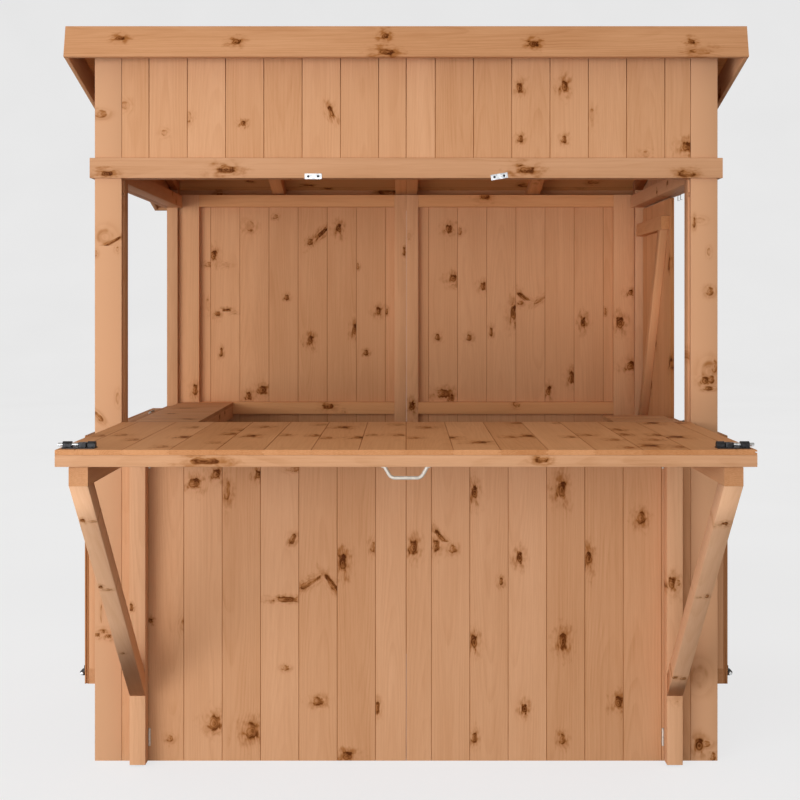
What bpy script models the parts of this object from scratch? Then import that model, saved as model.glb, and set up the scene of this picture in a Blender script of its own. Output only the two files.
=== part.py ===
"""Outdoor garden bar, built in Blender as separate closed solids.

The bar is a small timber building with a pent roof.  A counter flap is hinged
to the front wall and rests on two swing brackets, a hatch hangs outside each
side wall, and a ledged and braced door closes the rear of the right side.

Units are metres.  X points right, Y points back and Z points up.  The pieces
are first laid out from the front wall's face (Y = 0) and the middle of the
front (X = 0), and the whole is moved at the end so that the origin lies in the
middle of the base of its box.
"""

import math

import bmesh
import bpy
from mathutils import Matrix, Vector

# Timber sections
BOARD = 0.012            # thickness of the matched boards
BATTEN = 0.028           # thickness of frame battens
BATTEN_WIDE = 0.045      # face width of frame battens
WALL = BOARD + BATTEN    # thickness of a framed wall
GAP = 0.0003             # gap kept between pieces that touch
CLEAR = 0.005            # running clearance of moving pieces

# Building
HALF_WIDTH = 0.900       # middle to the outer face of a side wall
DEPTH = 1.200            # front face to rear face
DADO_TOP = 0.937         # top of the side walls under the openings
FRONT_WALL_RISE = 0.007  # front wall above the side walls
FRONT_WALL_TOP = DADO_TOP + FRONT_WALL_RISE  # top of the front wall under the counter's hinges
HEAD = 1.683             # underside of the pieces over the openings
HEADER_TRIM_HEIGHT = 0.058

# Corner posts
POST_WIDTH = 0.0775      # face of the front board strip
POST_DEPTH = 0.0885
POST_STILE_SETBACK = 0.005
REAR_POST_DEPTH = 0.052
REAR_POST_FRONT = DEPTH - BOARD - REAR_POST_DEPTH

# Back wall frame
BACK_END_STILE = 0.077
BACK_RAIL_RISE = 0.013   # middle rail above the side walls
BACK_RAIL_TOP = DADO_TOP + BACK_RAIL_RISE

# Door in the right side wall
DOOR_WIDTH = 0.516
DOOR_REAR_GAP = 0.006
DOOR_HEAD_GAP = 0.006
DOOR_HINGE_EDGE = REAR_POST_FRONT - DOOR_REAR_GAP
DOOR_FRONT = DOOR_HINGE_EDGE - DOOR_WIDTH  # free edge of the door
RIGHT_WALL_END = DOOR_FRONT - CLEAR        # rear end of the right side wall
DOOR_BOTTOM = 0.012
DOOR_TOP = HEAD - DOOR_HEAD_GAP
DOOR_HINGE_SETBACK = 0.0015  # hinge axis in front of the rear post
DOOR_HINGE_HEIGHTS = (0.260, 1.400)
DOOR_HINGE_LENGTH = 0.075
LEDGE_INSET = 0.018      # ledge ends kept back from the door edges
TOP_LEDGE_DROP = 0.065   # underside of the head to the top of the upper ledge
TOP_LEDGE_HIGH = HEAD - TOP_LEDGE_DROP
MIDDLE_LEDGE_DROP = 0.062
MIDDLE_LEDGE_HIGH = DADO_TOP - MIDDLE_LEDGE_DROP
BOTTOM_LEDGE_HIGH = 0.190
BRACE_INSET = 0.020      # brace ends kept back from the ledge ends
HINGE_OFFSET = 0.006     # hinge axes lie this far outside a wall face

# Side hatches, hanging outside the walls
SIDE_FLAP_HINGE_DROP = 0.001
SIDE_FLAP_HINGE_Z = DADO_TOP - SIDE_FLAP_HINGE_DROP
SIDE_FLAP_NEAR = 0.006   # hinge axis to the near edge
SIDE_FLAP_REACH = 0.7405 # hinge axis to the far edge
RIGHT_FLAP_END = RIGHT_WALL_END - CLEAR
SIDE_HINGE_SHARE = 0.22  # hatch end to a hinge, as a share of the hatch's length
SIDE_HINGE_LENGTH = 0.060

# Counter flap
FLAP_HALF_WIDTH = HALF_WIDTH - POST_WIDTH - CLEAR
FLAP_HINGE_Y = -0.0048
FLAP_HINGE_RISE = 0.0005
FLAP_HINGE_Z = FRONT_WALL_TOP + FLAP_HINGE_RISE
FLAP_HINGE_TO_EDGE = 0.0068
FLAP_REACH = 0.737       # wall face to the free edge
FLAP_FAR_Y = -FLAP_REACH
FLAP_BELOW_HINGE = 0.0045
FLAP_BOTTOM = FLAP_HINGE_Z - FLAP_BELOW_HINGE
COUNTER_HINGE_INSET = 0.2975
COUNTER_HINGE_X = FLAP_HALF_WIDTH - COUNTER_HINGE_INSET
COUNTER_HINGE_LENGTH = 0.060

# Hinges, each a leaf and a barrel
HINGE_LEAF = 0.0015      # thickness
HINGE_LEAF_WIDTH = 0.038
WIDE_BARREL_RADIUS = 0.0057
COUNTER_BARREL_RADIUS = 0.0045
COUNTER_LEAF = 0.0025
COUNTER_LEAF_WIDTH = 0.028
HINGE_SIDES = 20

# Swing brackets
BRACKET_INSET = 0.0765   # flap end to hinge axis
BRACKET_HINGE_X = FLAP_HALF_WIDTH - BRACKET_INSET
BRACKET_HINGE_Y = -0.0035
BRACKET_HINGE_GAP = 0.003
BRACKET_INNER_X = BRACKET_HINGE_X + BRACKET_HINGE_GAP
BRACKET_BACK_Y = -0.005
BRACKET_SETBACK = 0.015  # arm's end behind the counter's front edge
BRACKET_FRONT_Y = FLAP_FAR_Y + BRACKET_SETBACK
BRACKET_BOTTOM = 0.005
BRACKET_TOP_GAP = 0.002
BRACKET_TOP = FLAP_BOTTOM - BRACKET_TOP_GAP
BRACKET_STRUT_FOOT = 0.202
BRACKET_HINGE_LENGTH = 0.050
BRACKET_HINGE_HEIGHTS = (0.045, 0.845)
BRACKET_BARREL_RADIUS = 0.0030
BRACKET_LEAF = 0.0012
BRACKET_LEAF_WIDTH = 0.024

# Inner shelves
SHELF_REACH = 0.245      # side wall's outer face to the shelf's inner edge
SHELF_INNER_X = HALF_WIDTH - SHELF_REACH
SHELF_WALL_GAP = 0.0055
SHELF_DOOR_GAP = 0.029
RIGHT_SHELF_END = RIGHT_WALL_END - SHELF_DOOR_GAP

# Roof, laid out along its slope from the lower front edge of the fascia
ROOF_SLOPE = 0.252       # fall to the back per metre
ROOF_FRONT_OVERHANG = 0.080
ROOF_BACK_OVERHANG = 0.067
ROOF_SIDE_OVERHANG = 0.070
ROOF_RISE = 0.337        # head to the fascia's foot
ROOF_FRONT_Y = -ROOF_FRONT_OVERHANG
ROOF_FRONT_Z = HEAD + ROOF_RISE
ROOF_BACK_Y = DEPTH + ROOF_BACK_OVERHANG
ROOF_HALF_WIDTH = HALF_WIDTH + ROOF_SIDE_OVERHANG
FASCIA_HEIGHT = 0.094    # measured square to the slope
FASCIA = 0.012
DECK_DROP = 0.004        # deck surface below the fascia's top edge
RAFTER_DEPTH = 0.043
RAFTER_WIDTH = 0.045
RAFTER_X = ROOF_HALF_WIDTH / 2.0
CENTRE_RAFTER_WIDTH = 0.042
FELT = 0.003

# Counter handle
HANDLE_ROD = 0.0045      # radius
HANDLE_DROP = 0.032      # underside of the batten to the rod's underside
HANDLE_HALF_SPAN = 0.0485
HANDLE_BEND = 0.018
HANDLE_FOOT = 0.030
HANDLE_FOOT_THICKNESS = 0.003
HANDLE_FOOT_WIDTH = 0.014
HANDLE_SETBACK = 0.019
HANDLE_Y = FLAP_FAR_Y + HANDLE_SETBACK
ROD_SIDES = 12

# Tower bolts on the counter flap
BOLT_SETBACK = 0.037
BOLT_Y = FLAP_FAR_Y + BOLT_SETBACK
BOLT_RADIUS = 0.0045
BOLT_CLEARANCE = 0.0005
BOLT_PROUD = 0.002       # tip beyond the counter's end, drawn back
BOLT_TIP_X = FLAP_HALF_WIDTH + BOLT_PROUD
BOLT_TRAVEL = 0.014
BOLT_PLATE_INSET = 0.010
BOLT_PLATE_OUTER = FLAP_HALF_WIDTH - BOLT_PLATE_INSET
BOLT_PLATE_LENGTH = 0.077
BOLT_PLATE_WIDTH = 0.034
BOLT_PLATE_THICKNESS = 0.002
BOLT_GUIDE_LENGTHS = (0.021, 0.018)
BOLT_GUIDE_WALL = 0.003
BOLT_AXIS_HEIGHT = 0.0085
BOLT_COLLAR_LENGTH = 0.012
BOLT_COLLAR_RADIUS = 0.0062
BOLT_KNOB_RADIUS = 0.0030
BOLT_KNOB_HEIGHT = 0.0150
BOLT_HOLE_RADIUS = 0.0065
BOLT_HOLE_DEPTH = 0.018

# Small zinc catches on the header trim
CATCH_INSET = 0.632      # side wall's outer face to a front catch
CATCH_X = HALF_WIDTH - CATCH_INSET
CATCH_SIDE_SETBACK = 0.605
CATCH_SIDE_Y = DEPTH - CATCH_SIDE_SETBACK
CATCH_WIDTH = 0.049
CATCH_PLATE_HEIGHT = 0.016
CATCH_THICKNESS = 0.0015
CATCH_FRONT_DROP = 0.0036  # a front catch's lower edge below the trim
CATCH_TILT = math.radians(9.0)
CATCH_LEG_WIDTH = 0.006
CATCH_LEG_DROP = 0.016
CATCH_FOOT = 0.007

# Colours
WOOD_COLOUR = (0.62, 0.33, 0.16, 1.0)
ZINC_COLOUR = (0.72, 0.74, 0.76, 1.0)
BLACK_COLOUR = (0.02, 0.02, 0.025, 1.0)
FELT_COLOUR = (0.09, 0.10, 0.10, 1.0)

SIDES = {"left": -1.0, "right": 1.0}
OVERLAP = 0.002          # how far joined pieces run into each other
SHARP_ANGLE = math.radians(40.0)


def clear_scene():
    """Remove whatever objects the scene starts with."""
    for thing in list(bpy.data.objects):
        bpy.data.objects.remove(thing, do_unlink=True)


def make_material(name, colour, roughness, metallic):
    """Return a plain Principled material."""
    material = bpy.data.materials.new(name)
    material.use_nodes = True
    shader = material.node_tree.nodes["Principled BSDF"]
    shader.inputs["Base Color"].default_value = colour
    shader.inputs["Roughness"].default_value = roughness
    shader.inputs["Metallic"].default_value = metallic
    material.diffuse_color = colour
    return material


def new_object(name, shape):
    """Return a new object that holds the given bmesh, normals out."""
    bmesh.ops.recalc_face_normals(shape, faces=shape.faces)
    mesh = bpy.data.meshes.new(name)
    shape.to_mesh(mesh)
    shape.free()
    thing = bpy.data.objects.new(name, mesh)
    bpy.context.scene.collection.objects.link(thing)
    return thing


def prism(name, ring, shift):
    """Return the solid that a flat outline sweeps when it is extruded along shift."""
    shape = bmesh.new()
    face = shape.faces.new([shape.verts.new(point) for point in ring])
    swept = bmesh.ops.extrude_face_region(shape, geom=[face])
    moved = [item for item in swept["geom"] if isinstance(item, bmesh.types.BMVert)]
    bmesh.ops.translate(shape, verts=moved, vec=Vector(shift))
    return new_object(name, shape)


def block(name, xs, ys, zs):
    """Return a box between the given pairs of X, Y and Z values."""
    spans = [sorted(pair) for pair in (xs, ys, zs)]
    shape = bmesh.new()
    bmesh.ops.create_cube(shape, size=2.0)
    for corner in shape.verts:
        corner.co = [high if value > 0.0 else low for value, (low, high) in zip(corner.co, spans)]
    return new_object(name, shape)


def side_block(name, side, xs, ys, zs):
    """Return a box whose X values are distances from the middle on one side."""
    return block(name, [side * value for value in xs], ys, zs)


def cylinder(name, start, end, radius, sides=24):
    """Return a closed cylinder between two points."""
    line = Vector(end) - Vector(start)
    middle = Vector(start) + line / 2.0
    place = Matrix.Translation(middle) @ line.to_track_quat("Z", "Y").to_matrix().to_4x4()
    shape = bmesh.new()
    bmesh.ops.create_cone(shape, cap_ends=True, segments=sides, radius1=radius, radius2=radius,
                          depth=line.length, matrix=place)
    return new_object(name, shape)


def rod_along(name, path, radius, sides):
    """Return a closed round rod along the points of a path, from a bevelled curve."""
    curve = bpy.data.curves.new(name, "CURVE")
    curve.dimensions = "3D"
    curve.bevel_depth = radius
    curve.bevel_resolution = sides // 4 - 1
    curve.use_fill_caps = True
    spline = curve.splines.new("POLY")
    spline.points.add(len(path) - 1)
    for point, place in zip(spline.points, path):
        point.co = (*place, 1.0)
    guide = bpy.data.objects.new(name, curve)
    bpy.context.scene.collection.objects.link(guide)
    graph = bpy.context.evaluated_depsgraph_get()
    shape = bmesh.new()
    shape.from_mesh(guide.evaluated_get(graph).to_mesh())
    bmesh.ops.remove_doubles(shape, verts=shape.verts, dist=0.00001)
    bpy.data.objects.remove(guide, do_unlink=True)
    return new_object(name, shape)


def combine(target, others, operation):
    """Apply exact booleans to target with each of the other objects in turn."""
    for other in others:
        modifier = target.modifiers.new("combine", "BOOLEAN")
        modifier.operation = operation
        modifier.solver = "EXACT"
        modifier.object = other
        graph = bpy.context.evaluated_depsgraph_get()
        mesh = bpy.data.meshes.new_from_object(target.evaluated_get(graph))
        target.modifiers.clear()
        old = target.data
        target.data = mesh
        bpy.data.meshes.remove(old)
        bpy.data.objects.remove(other, do_unlink=True)
    tidy_mesh(target)
    return target


def tidy_mesh(thing):
    """Merge flat faces and stray points that a boolean leaves behind."""
    shape = bmesh.new()
    shape.from_mesh(thing.data)
    bmesh.ops.remove_doubles(shape, verts=shape.verts, dist=0.00001)
    bmesh.ops.dissolve_limit(shape, angle_limit=math.radians(0.5), verts=shape.verts, edges=shape.edges)
    bmesh.ops.recalc_face_normals(shape, faces=shape.faces)
    shape.to_mesh(thing.data)
    shape.free()


def unite(target, *others):
    """Join overlapping solids into one closed body."""
    return combine(target, others, "UNION")


def cut(target, *cutters):
    """Cut solids out of a body."""
    return combine(target, cutters, "DIFFERENCE")


def finish(thing, name, material, origin=None):
    """Name a finished piece, give it its material and put its origin on its joint axis."""
    thing.name = name
    thing.data.name = name
    thing.data.materials.clear()
    own = material.copy()
    own.name = name + "_" + material.name
    thing.data.materials.append(own)
    for face in thing.data.polygons:
        face.material_index = 0
    thing.data.shade_smooth()
    thing.data.set_sharp_from_angle(angle=SHARP_ANGLE)
    if origin is not None:
        thing.data.transform(Matrix.Translation(-Vector(origin)))
        thing.location = Vector(origin)
    return thing


# Roof geometry

ROOF_ANGLE = math.atan(ROOF_SLOPE)
ROOF_ALONG = Vector((0.0, math.cos(ROOF_ANGLE), -math.sin(ROOF_ANGLE)))
ROOF_UP = Vector((0.0, math.sin(ROOF_ANGLE), math.cos(ROOF_ANGLE)))
ROOF_LENGTH = (ROOF_BACK_Y - ROOF_FRONT_Y) / math.cos(ROOF_ANGLE)
DECK_TOP = FASCIA_HEIGHT - DECK_DROP
DECK_UNDER = DECK_TOP - BOARD
RAFTER_UNDER = DECK_UNDER - GAP - RAFTER_DEPTH


def roof_point(x, along, up):
    """Return the point at a distance along the slope and square to it."""
    corner = Vector((x, ROOF_FRONT_Y, ROOF_FRONT_Z))
    return corner + along * ROOF_ALONG + up * ROOF_UP


def roof_block(name, xs, alongs, ups):
    """Return a box laid on the roof's slope."""
    ring = [
        roof_point(xs[0], alongs[0], ups[0]),
        roof_point(xs[0], alongs[1], ups[0]),
        roof_point(xs[0], alongs[1], ups[1]),
        roof_point(xs[0], alongs[0], ups[1]),
    ]
    return prism(name, ring, (xs[1] - xs[0], 0.0, 0.0))


def under_roof(y, up):
    """Return the height at depth y of the sloping plane that lies up above the fascia's foot."""
    return ROOF_FRONT_Z - (y - ROOF_FRONT_Y) * ROOF_SLOPE + up / math.cos(ROOF_ANGLE)


def wall_cap(y):
    """Return the height of walls that carry the rafters."""
    return under_roof(y, RAFTER_UNDER - GAP)


def deck_cap(y):
    """Return the height of walls and posts that reach the roof deck."""
    return under_roof(y, DECK_UNDER - GAP)


def sloped_block(name, xs, ys, low, cap):
    """Return an upright box whose top follows the roof."""
    ring = [
        (xs[0], ys[0], low),
        (xs[0], ys[1], low),
        (xs[0], ys[1], cap(ys[1])),
        (xs[0], ys[0], cap(ys[0])),
    ]
    return prism(name, ring, (xs[1] - xs[0], 0.0, 0.0))


# Walls

def build_front_walls(wood):
    """Build the two panels under the counter."""
    outer = HALF_WIDTH - POST_WIDTH - GAP
    inner = GAP / 2.0
    frame = (BOARD - OVERLAP, WALL)
    for label, side in SIDES.items():
        top = FRONT_WALL_TOP
        panel = side_block("panel", side, (inner, outer), (0.0, BOARD), (0.0, top))
        battens = [
            side_block("stile", side, (inner, BATTEN_WIDE), frame, (0.0, top)),
            side_block("stile", side, (outer - BATTEN_WIDE, outer), frame, (0.0, top)),
            side_block("rail", side, (inner, outer), frame, (0.0, BATTEN_WIDE)),
            side_block("rail", side, (inner, outer), frame, (top - BATTEN_WIDE, top)),
        ]
        unite(panel, *battens)
        finish(panel, "front_wall_" + label, wood)


def build_front_headers(wood):
    """Build the two panels over the serving opening."""
    outer = HALF_WIDTH - POST_WIDTH - GAP
    inner = GAP / 2.0
    frame = (BOARD - OVERLAP, WALL)
    top = wall_cap(WALL)
    for label, side in SIDES.items():
        xs = sorted((side * inner, side * outer))
        panel = sloped_block("panel", xs, (0.0, BOARD), HEAD, wall_cap)
        battens = [
            side_block("stile", side, (inner, BATTEN_WIDE), frame, (HEAD, top)),
            side_block("stile", side, (outer - BATTEN_WIDE, outer), frame, (HEAD, top)),
            side_block("rail", side, (inner, outer), frame, (HEAD, HEAD + BATTEN_WIDE)),
            side_block("rail", side, (inner, outer), frame, (top - BATTEN_WIDE, top)),
        ]
        unite(panel, *battens)
        finish(panel, "front_header_" + label, wood)


def build_back_walls(wood):
    """Build the two back panels with their stiles, top rail, middle rail and bottom rail."""
    inner = GAP / 2.0
    boards = (DEPTH - BOARD, DEPTH)
    frame = (DEPTH - WALL, DEPTH - BOARD + OVERLAP)
    frame_end = HALF_WIDTH - WALL - GAP
    top = wall_cap(DEPTH)
    for label, side in SIDES.items():
        panel = side_block("panel", side, (inner, HALF_WIDTH), boards, (0.0, top))
        battens = [
            side_block("stile", side, (inner, BATTEN_WIDE), frame, (0.0, top)),
            side_block("stile", side, (frame_end - BACK_END_STILE, frame_end), frame, (0.0, top)),
            side_block("rail", side, (inner, frame_end), frame, (0.0, BATTEN_WIDE)),
            side_block("rail", side, (inner, frame_end), frame,
                       (BACK_RAIL_TOP - BATTEN_WIDE, BACK_RAIL_TOP)),
            side_block("rail", side, (inner, frame_end), frame, (top - BATTEN_WIDE, top)),
        ]
        unite(panel, *battens)
        finish(panel, "back_wall_" + label, wood)


def build_front_posts(wood):
    """Build the front corner posts, each holed for the tip of a tower bolt."""
    outer = HALF_WIDTH
    inner = HALF_WIDTH - POST_WIDTH
    set_back = inner + POST_STILE_SETBACK
    outline = [
        (outer, 0.0), (outer, POST_DEPTH), (inner, POST_DEPTH), (inner, WALL),
        (set_back, WALL), (set_back, BOARD), (inner, BOARD), (inner, 0.0),
    ]
    tallest = deck_cap(0.0) + OVERLAP
    hole_y = FLAP_HINGE_Y + FLAP_BOTTOM + WALL + BOLT_AXIS_HEIGHT - FLAP_HINGE_Z
    hole_z = FLAP_HINGE_Z + FLAP_HINGE_Y - BOLT_Y
    for label, side in SIDES.items():
        ring = [(side * x, y, 0.0) for x, y in outline]
        post = prism("post", ring, (0.0, 0.0, tallest))
        slope = [
            (side * (inner - OVERLAP), -OVERLAP, deck_cap(-OVERLAP)),
            (side * (inner - OVERLAP), POST_DEPTH + OVERLAP, deck_cap(POST_DEPTH + OVERLAP)),
            (side * (inner - OVERLAP), POST_DEPTH + OVERLAP, tallest + OVERLAP),
            (side * (inner - OVERLAP), -OVERLAP, tallest + OVERLAP),
        ]
        top_cutter = prism("cutter", slope, (side * (POST_WIDTH + 2.0 * OVERLAP), 0.0, 0.0))
        mouth = (side * (inner - OVERLAP), hole_y, hole_z)
        end = (side * (inner + BOLT_HOLE_DEPTH), hole_y, hole_z)
        hole_cutter = cylinder("cutter", mouth, end, BOLT_HOLE_RADIUS)
        cut(post, top_cutter, hole_cutter)
        finish(post, "front_post_" + label, wood)


def build_rear_posts(wood):
    """Build the rear corner posts."""
    ys = (REAR_POST_FRONT, DEPTH - BOARD - GAP)
    for label, side in SIDES.items():
        xs = sorted((side * (HALF_WIDTH - WALL), side * HALF_WIDTH))
        post = sloped_block("post", xs, ys, 0.0, deck_cap)
        finish(post, "rear_post_" + label, wood)


def build_side_walls(wood):
    """Build the side walls under the openings."""
    ends = {"left": REAR_POST_FRONT - GAP, "right": RIGHT_WALL_END}
    front = POST_DEPTH + GAP
    boards = (HALF_WIDTH - BOARD, HALF_WIDTH)
    frame = (HALF_WIDTH - WALL, HALF_WIDTH - BOARD + OVERLAP)
    for label, side in SIDES.items():
        back = ends[label]
        panel = side_block("panel", side, boards, (front, back), (0.0, DADO_TOP))
        battens = [
            side_block("stile", side, frame, (front, front + BATTEN_WIDE), (0.0, DADO_TOP)),
            side_block("stile", side, frame, (back - BATTEN_WIDE, back), (0.0, DADO_TOP)),
            side_block("rail", side, frame, (front, back), (0.0, BATTEN_WIDE)),
            side_block("rail", side, frame, (front, back), (DADO_TOP - BATTEN_WIDE, DADO_TOP)),
        ]
        unite(panel, *battens)
        finish(panel, "side_wall_" + label, wood)


def build_gables(wood):
    """Build the boards over the side openings, with a head beam and a sloping rail inside."""
    front = POST_DEPTH + GAP
    back = REAR_POST_FRONT - GAP
    for label, side in SIDES.items():
        board_xs = sorted((side * (HALF_WIDTH - BOARD), side * HALF_WIDTH))
        rail_xs = sorted((side * (HALF_WIDTH - WALL), side * (HALF_WIDTH - BOARD + OVERLAP)))
        beam_xs = (HALF_WIDTH - BOARD - BATTEN_WIDE, HALF_WIDTH - BOARD + OVERLAP)
        panel = sloped_block("panel", board_xs, (front, back), HEAD, deck_cap)
        beam = side_block("beam", side, beam_xs, (front, back), (HEAD, HEAD + BATTEN_WIDE))
        ring = [
            (rail_xs[0], front, deck_cap(front) - BATTEN_WIDE),
            (rail_xs[0], back, deck_cap(back) - BATTEN_WIDE),
            (rail_xs[0], back, deck_cap(back)),
            (rail_xs[0], front, deck_cap(front)),
        ]
        rail = prism("rail", ring, (rail_xs[1] - rail_xs[0], 0.0, 0.0))
        unite(panel, beam, rail)
        finish(panel, "gable_" + label, wood)


def build_header_trims(wood):
    """Build the flat strips that run round the building over the openings."""
    zs = (HEAD, HEAD + HEADER_TRIM_HEIGHT)
    reach = HALF_WIDTH + BOARD
    front = block("trim", (-reach, reach), (-BOARD, -GAP), zs)
    finish(front, "header_trim_front", wood)
    for label, side in SIDES.items():
        trim = side_block("trim", side, (HALF_WIDTH + GAP, reach), (0.0, DEPTH), zs)
        finish(trim, "header_trim_" + label, wood)


def build_shelves(wood):
    """Build the inner shelves: boards on a front bearer and a wall bearer, notched round the post."""
    ends = {"left": DEPTH - WALL - GAP, "right": RIGHT_SHELF_END}
    wall_face = HALF_WIDTH - WALL
    post_face = HALF_WIDTH - POST_WIDTH
    low = DADO_TOP - BATTEN_WIDE
    bearer_zs = (low, DADO_TOP + OVERLAP)
    for label, side in SIDES.items():
        ys = (WALL + GAP, ends[label])
        behind_post = (POST_DEPTH + GAP, ends[label])
        board_xs = (SHELF_INNER_X, wall_face - SHELF_WALL_GAP)
        boards = side_block("boards", side, board_xs, ys, (DADO_TOP, DADO_TOP + BOARD))
        notch = side_block("cutter", side, (post_face - GAP, wall_face), (0.0, POST_DEPTH + GAP),
                           (low, DADO_TOP + 2.0 * BOARD))
        cut(boards, notch)
        front_bearer = side_block("bearer", side, (SHELF_INNER_X, SHELF_INNER_X + BATTEN), ys, bearer_zs)
        under_boards = (wall_face - BATTEN, wall_face - SHELF_WALL_GAP)
        wall_bearer = side_block("bearer", side, under_boards, behind_post, bearer_zs)
        wall_strip = side_block("strip", side, (wall_face - BATTEN_WIDE / 2.0, wall_face - GAP),
                                behind_post, (low, DADO_TOP - CLEAR))
        unite(boards, front_bearer, wall_bearer, wall_strip)
        finish(boards, "shelf_" + label, wood)


# Roof

def build_roof(wood, felt):
    """Build the deck, rafters, fascias, barge boards and the felt."""
    inside_x = ROOF_HALF_WIDTH - FASCIA - GAP
    inside = (FASCIA + GAP, ROOF_LENGTH - FASCIA - GAP)
    deck = roof_block("deck", (-inside_x, inside_x), inside, (DECK_UNDER, DECK_TOP))
    finish(deck, "roof_deck", wood)
    felt_ups = (DECK_TOP + GAP, DECK_TOP + GAP + FELT)
    sheet = roof_block("felt", (-inside_x, inside_x), inside, felt_ups)
    finish(sheet, "roof_felt", felt)
    rafter_ups = (RAFTER_UNDER, DECK_UNDER - GAP)
    centre = GAP / 2.0
    for label, side in SIDES.items():
        middle = side * RAFTER_X
        xs = (middle - RAFTER_WIDTH / 2.0, middle + RAFTER_WIDTH / 2.0)
        finish(roof_block("rafter", xs, inside, rafter_ups), "rafter_" + label, wood)
        xs = sorted((side * centre, side * CENTRE_RAFTER_WIDTH))
        finish(roof_block("rafter", xs, inside, rafter_ups), "rafter_centre_" + label, wood)
        xs = sorted((side * (ROOF_HALF_WIDTH - FASCIA), side * ROOF_HALF_WIDTH))
        barge = roof_block("barge", xs, inside, (0.0, FASCIA_HEIGHT))
        finish(barge, "barge_" + label, wood)
    ends = {"front": (0.0, FASCIA), "back": (ROOF_LENGTH - FASCIA, ROOF_LENGTH)}
    for label, alongs in ends.items():
        fascia = roof_block("fascia", (-ROOF_HALF_WIDTH, ROOF_HALF_WIDTH), alongs, (0.0, FASCIA_HEIGHT))
        finish(fascia, "fascia_" + label, wood)


# Door

def door_brace(side, low, high):
    """Return a slanting brace between two ledges, its foot at the hinge edge."""
    foot = DOOR_HINGE_EDGE - LEDGE_INSET - BRACE_INSET - BATTEN_WIDE
    head = DOOR_FRONT + LEDGE_INSET + BRACE_INSET
    inner = side * (HALF_WIDTH - WALL)
    ring = [
        (inner, foot, low - OVERLAP), (inner, foot + BATTEN_WIDE, low - OVERLAP),
        (inner, head + BATTEN_WIDE, high + OVERLAP), (inner, head, high + OVERLAP),
    ]
    return prism("brace", ring, (side * (BATTEN + OVERLAP), 0.0, 0.0))


def build_door(wood):
    """Build the ledged and braced door in the right side wall."""
    side = SIDES["right"]
    boards = (HALF_WIDTH - BOARD, HALF_WIDTH)
    frame = (HALF_WIDTH - WALL, HALF_WIDTH - BOARD + OVERLAP)
    leaf = side_block("leaf", side, boards, (DOOR_FRONT, DOOR_HINGE_EDGE), (DOOR_BOTTOM, DOOR_TOP))
    ledge_ys = (DOOR_FRONT + LEDGE_INSET, DOOR_HINGE_EDGE - LEDGE_INSET)
    pieces = []
    for top in (TOP_LEDGE_HIGH, MIDDLE_LEDGE_HIGH, BOTTOM_LEDGE_HIGH):
        pieces.append(side_block("ledge", side, frame, ledge_ys, (top - BATTEN_WIDE, top)))
    pieces.append(door_brace(side, MIDDLE_LEDGE_HIGH, TOP_LEDGE_HIGH - BATTEN_WIDE))
    pieces.append(door_brace(side, BOTTOM_LEDGE_HIGH, MIDDLE_LEDGE_HIGH - BATTEN_WIDE))
    unite(leaf, *pieces)
    finish(leaf, "door", wood, door_axis(DOOR_BOTTOM))


def door_axis(z):
    """Return the point on the door's hinge axis at a height."""
    return (HALF_WIDTH + HINGE_OFFSET, REAR_POST_FRONT - DOOR_HINGE_SETBACK, z)


def build_door_hinges(zinc):
    """Build the moving leaf and barrel of each door hinge, on the door's outer face."""
    for place, low in zip(("low", "high"), DOOR_HINGE_HEIGHTS):
        high = low + DOOR_HINGE_LENGTH
        start = door_axis(low)
        barrel = cylinder("barrel", start, door_axis(high), WIDE_BARREL_RADIUS, HINGE_SIDES)
        xs = (HALF_WIDTH + GAP, HALF_WIDTH + GAP + HINGE_LEAF)
        leaf = block("leaf", xs, (start[1] - HINGE_LEAF_WIDTH, start[1]), (low, high))
        unite(barrel, leaf)
        finish(barrel, "door_hinge_" + place, zinc, door_axis(DOOR_BOTTOM))


# Side hatches

def build_side_flaps(wood):
    """Build the hatches that hang outside the side walls, frame towards the wall."""
    front = POST_DEPTH + CLEAR
    ends = {"left": REAR_POST_FRONT - CLEAR, "right": RIGHT_FLAP_END}
    inner = HALF_WIDTH + 2.0 * HINGE_OFFSET
    boards = (inner + BATTEN, inner + WALL)
    frame = (inner, inner + BATTEN + OVERLAP)
    top = SIDE_FLAP_HINGE_Z - SIDE_FLAP_NEAR
    low = SIDE_FLAP_HINGE_Z - SIDE_FLAP_REACH
    for label, side in SIDES.items():
        back = ends[label]
        leaf = side_block("leaf", side, boards, (front, back), (low, top))
        pieces = [
            side_block("rail", side, frame, (front, back), (top - BATTEN_WIDE, top)),
            side_block("rail", side, frame, (front, back), (low, low + BATTEN_WIDE)),
            side_block("stile", side, frame, (front, front + BATTEN_WIDE), (low, top)),
            side_block("stile", side, frame, (back - BATTEN_WIDE, back), (low, top)),
        ]
        unite(leaf, *pieces)
        finish(leaf, "side_flap_" + label, wood, side_flap_axis(side, front))


def side_flap_axis(side, y):
    """Return the point on a hatch's hinge axis at a depth."""
    return (side * (HALF_WIDTH + HINGE_OFFSET), y, SIDE_FLAP_HINGE_Z)


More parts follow.
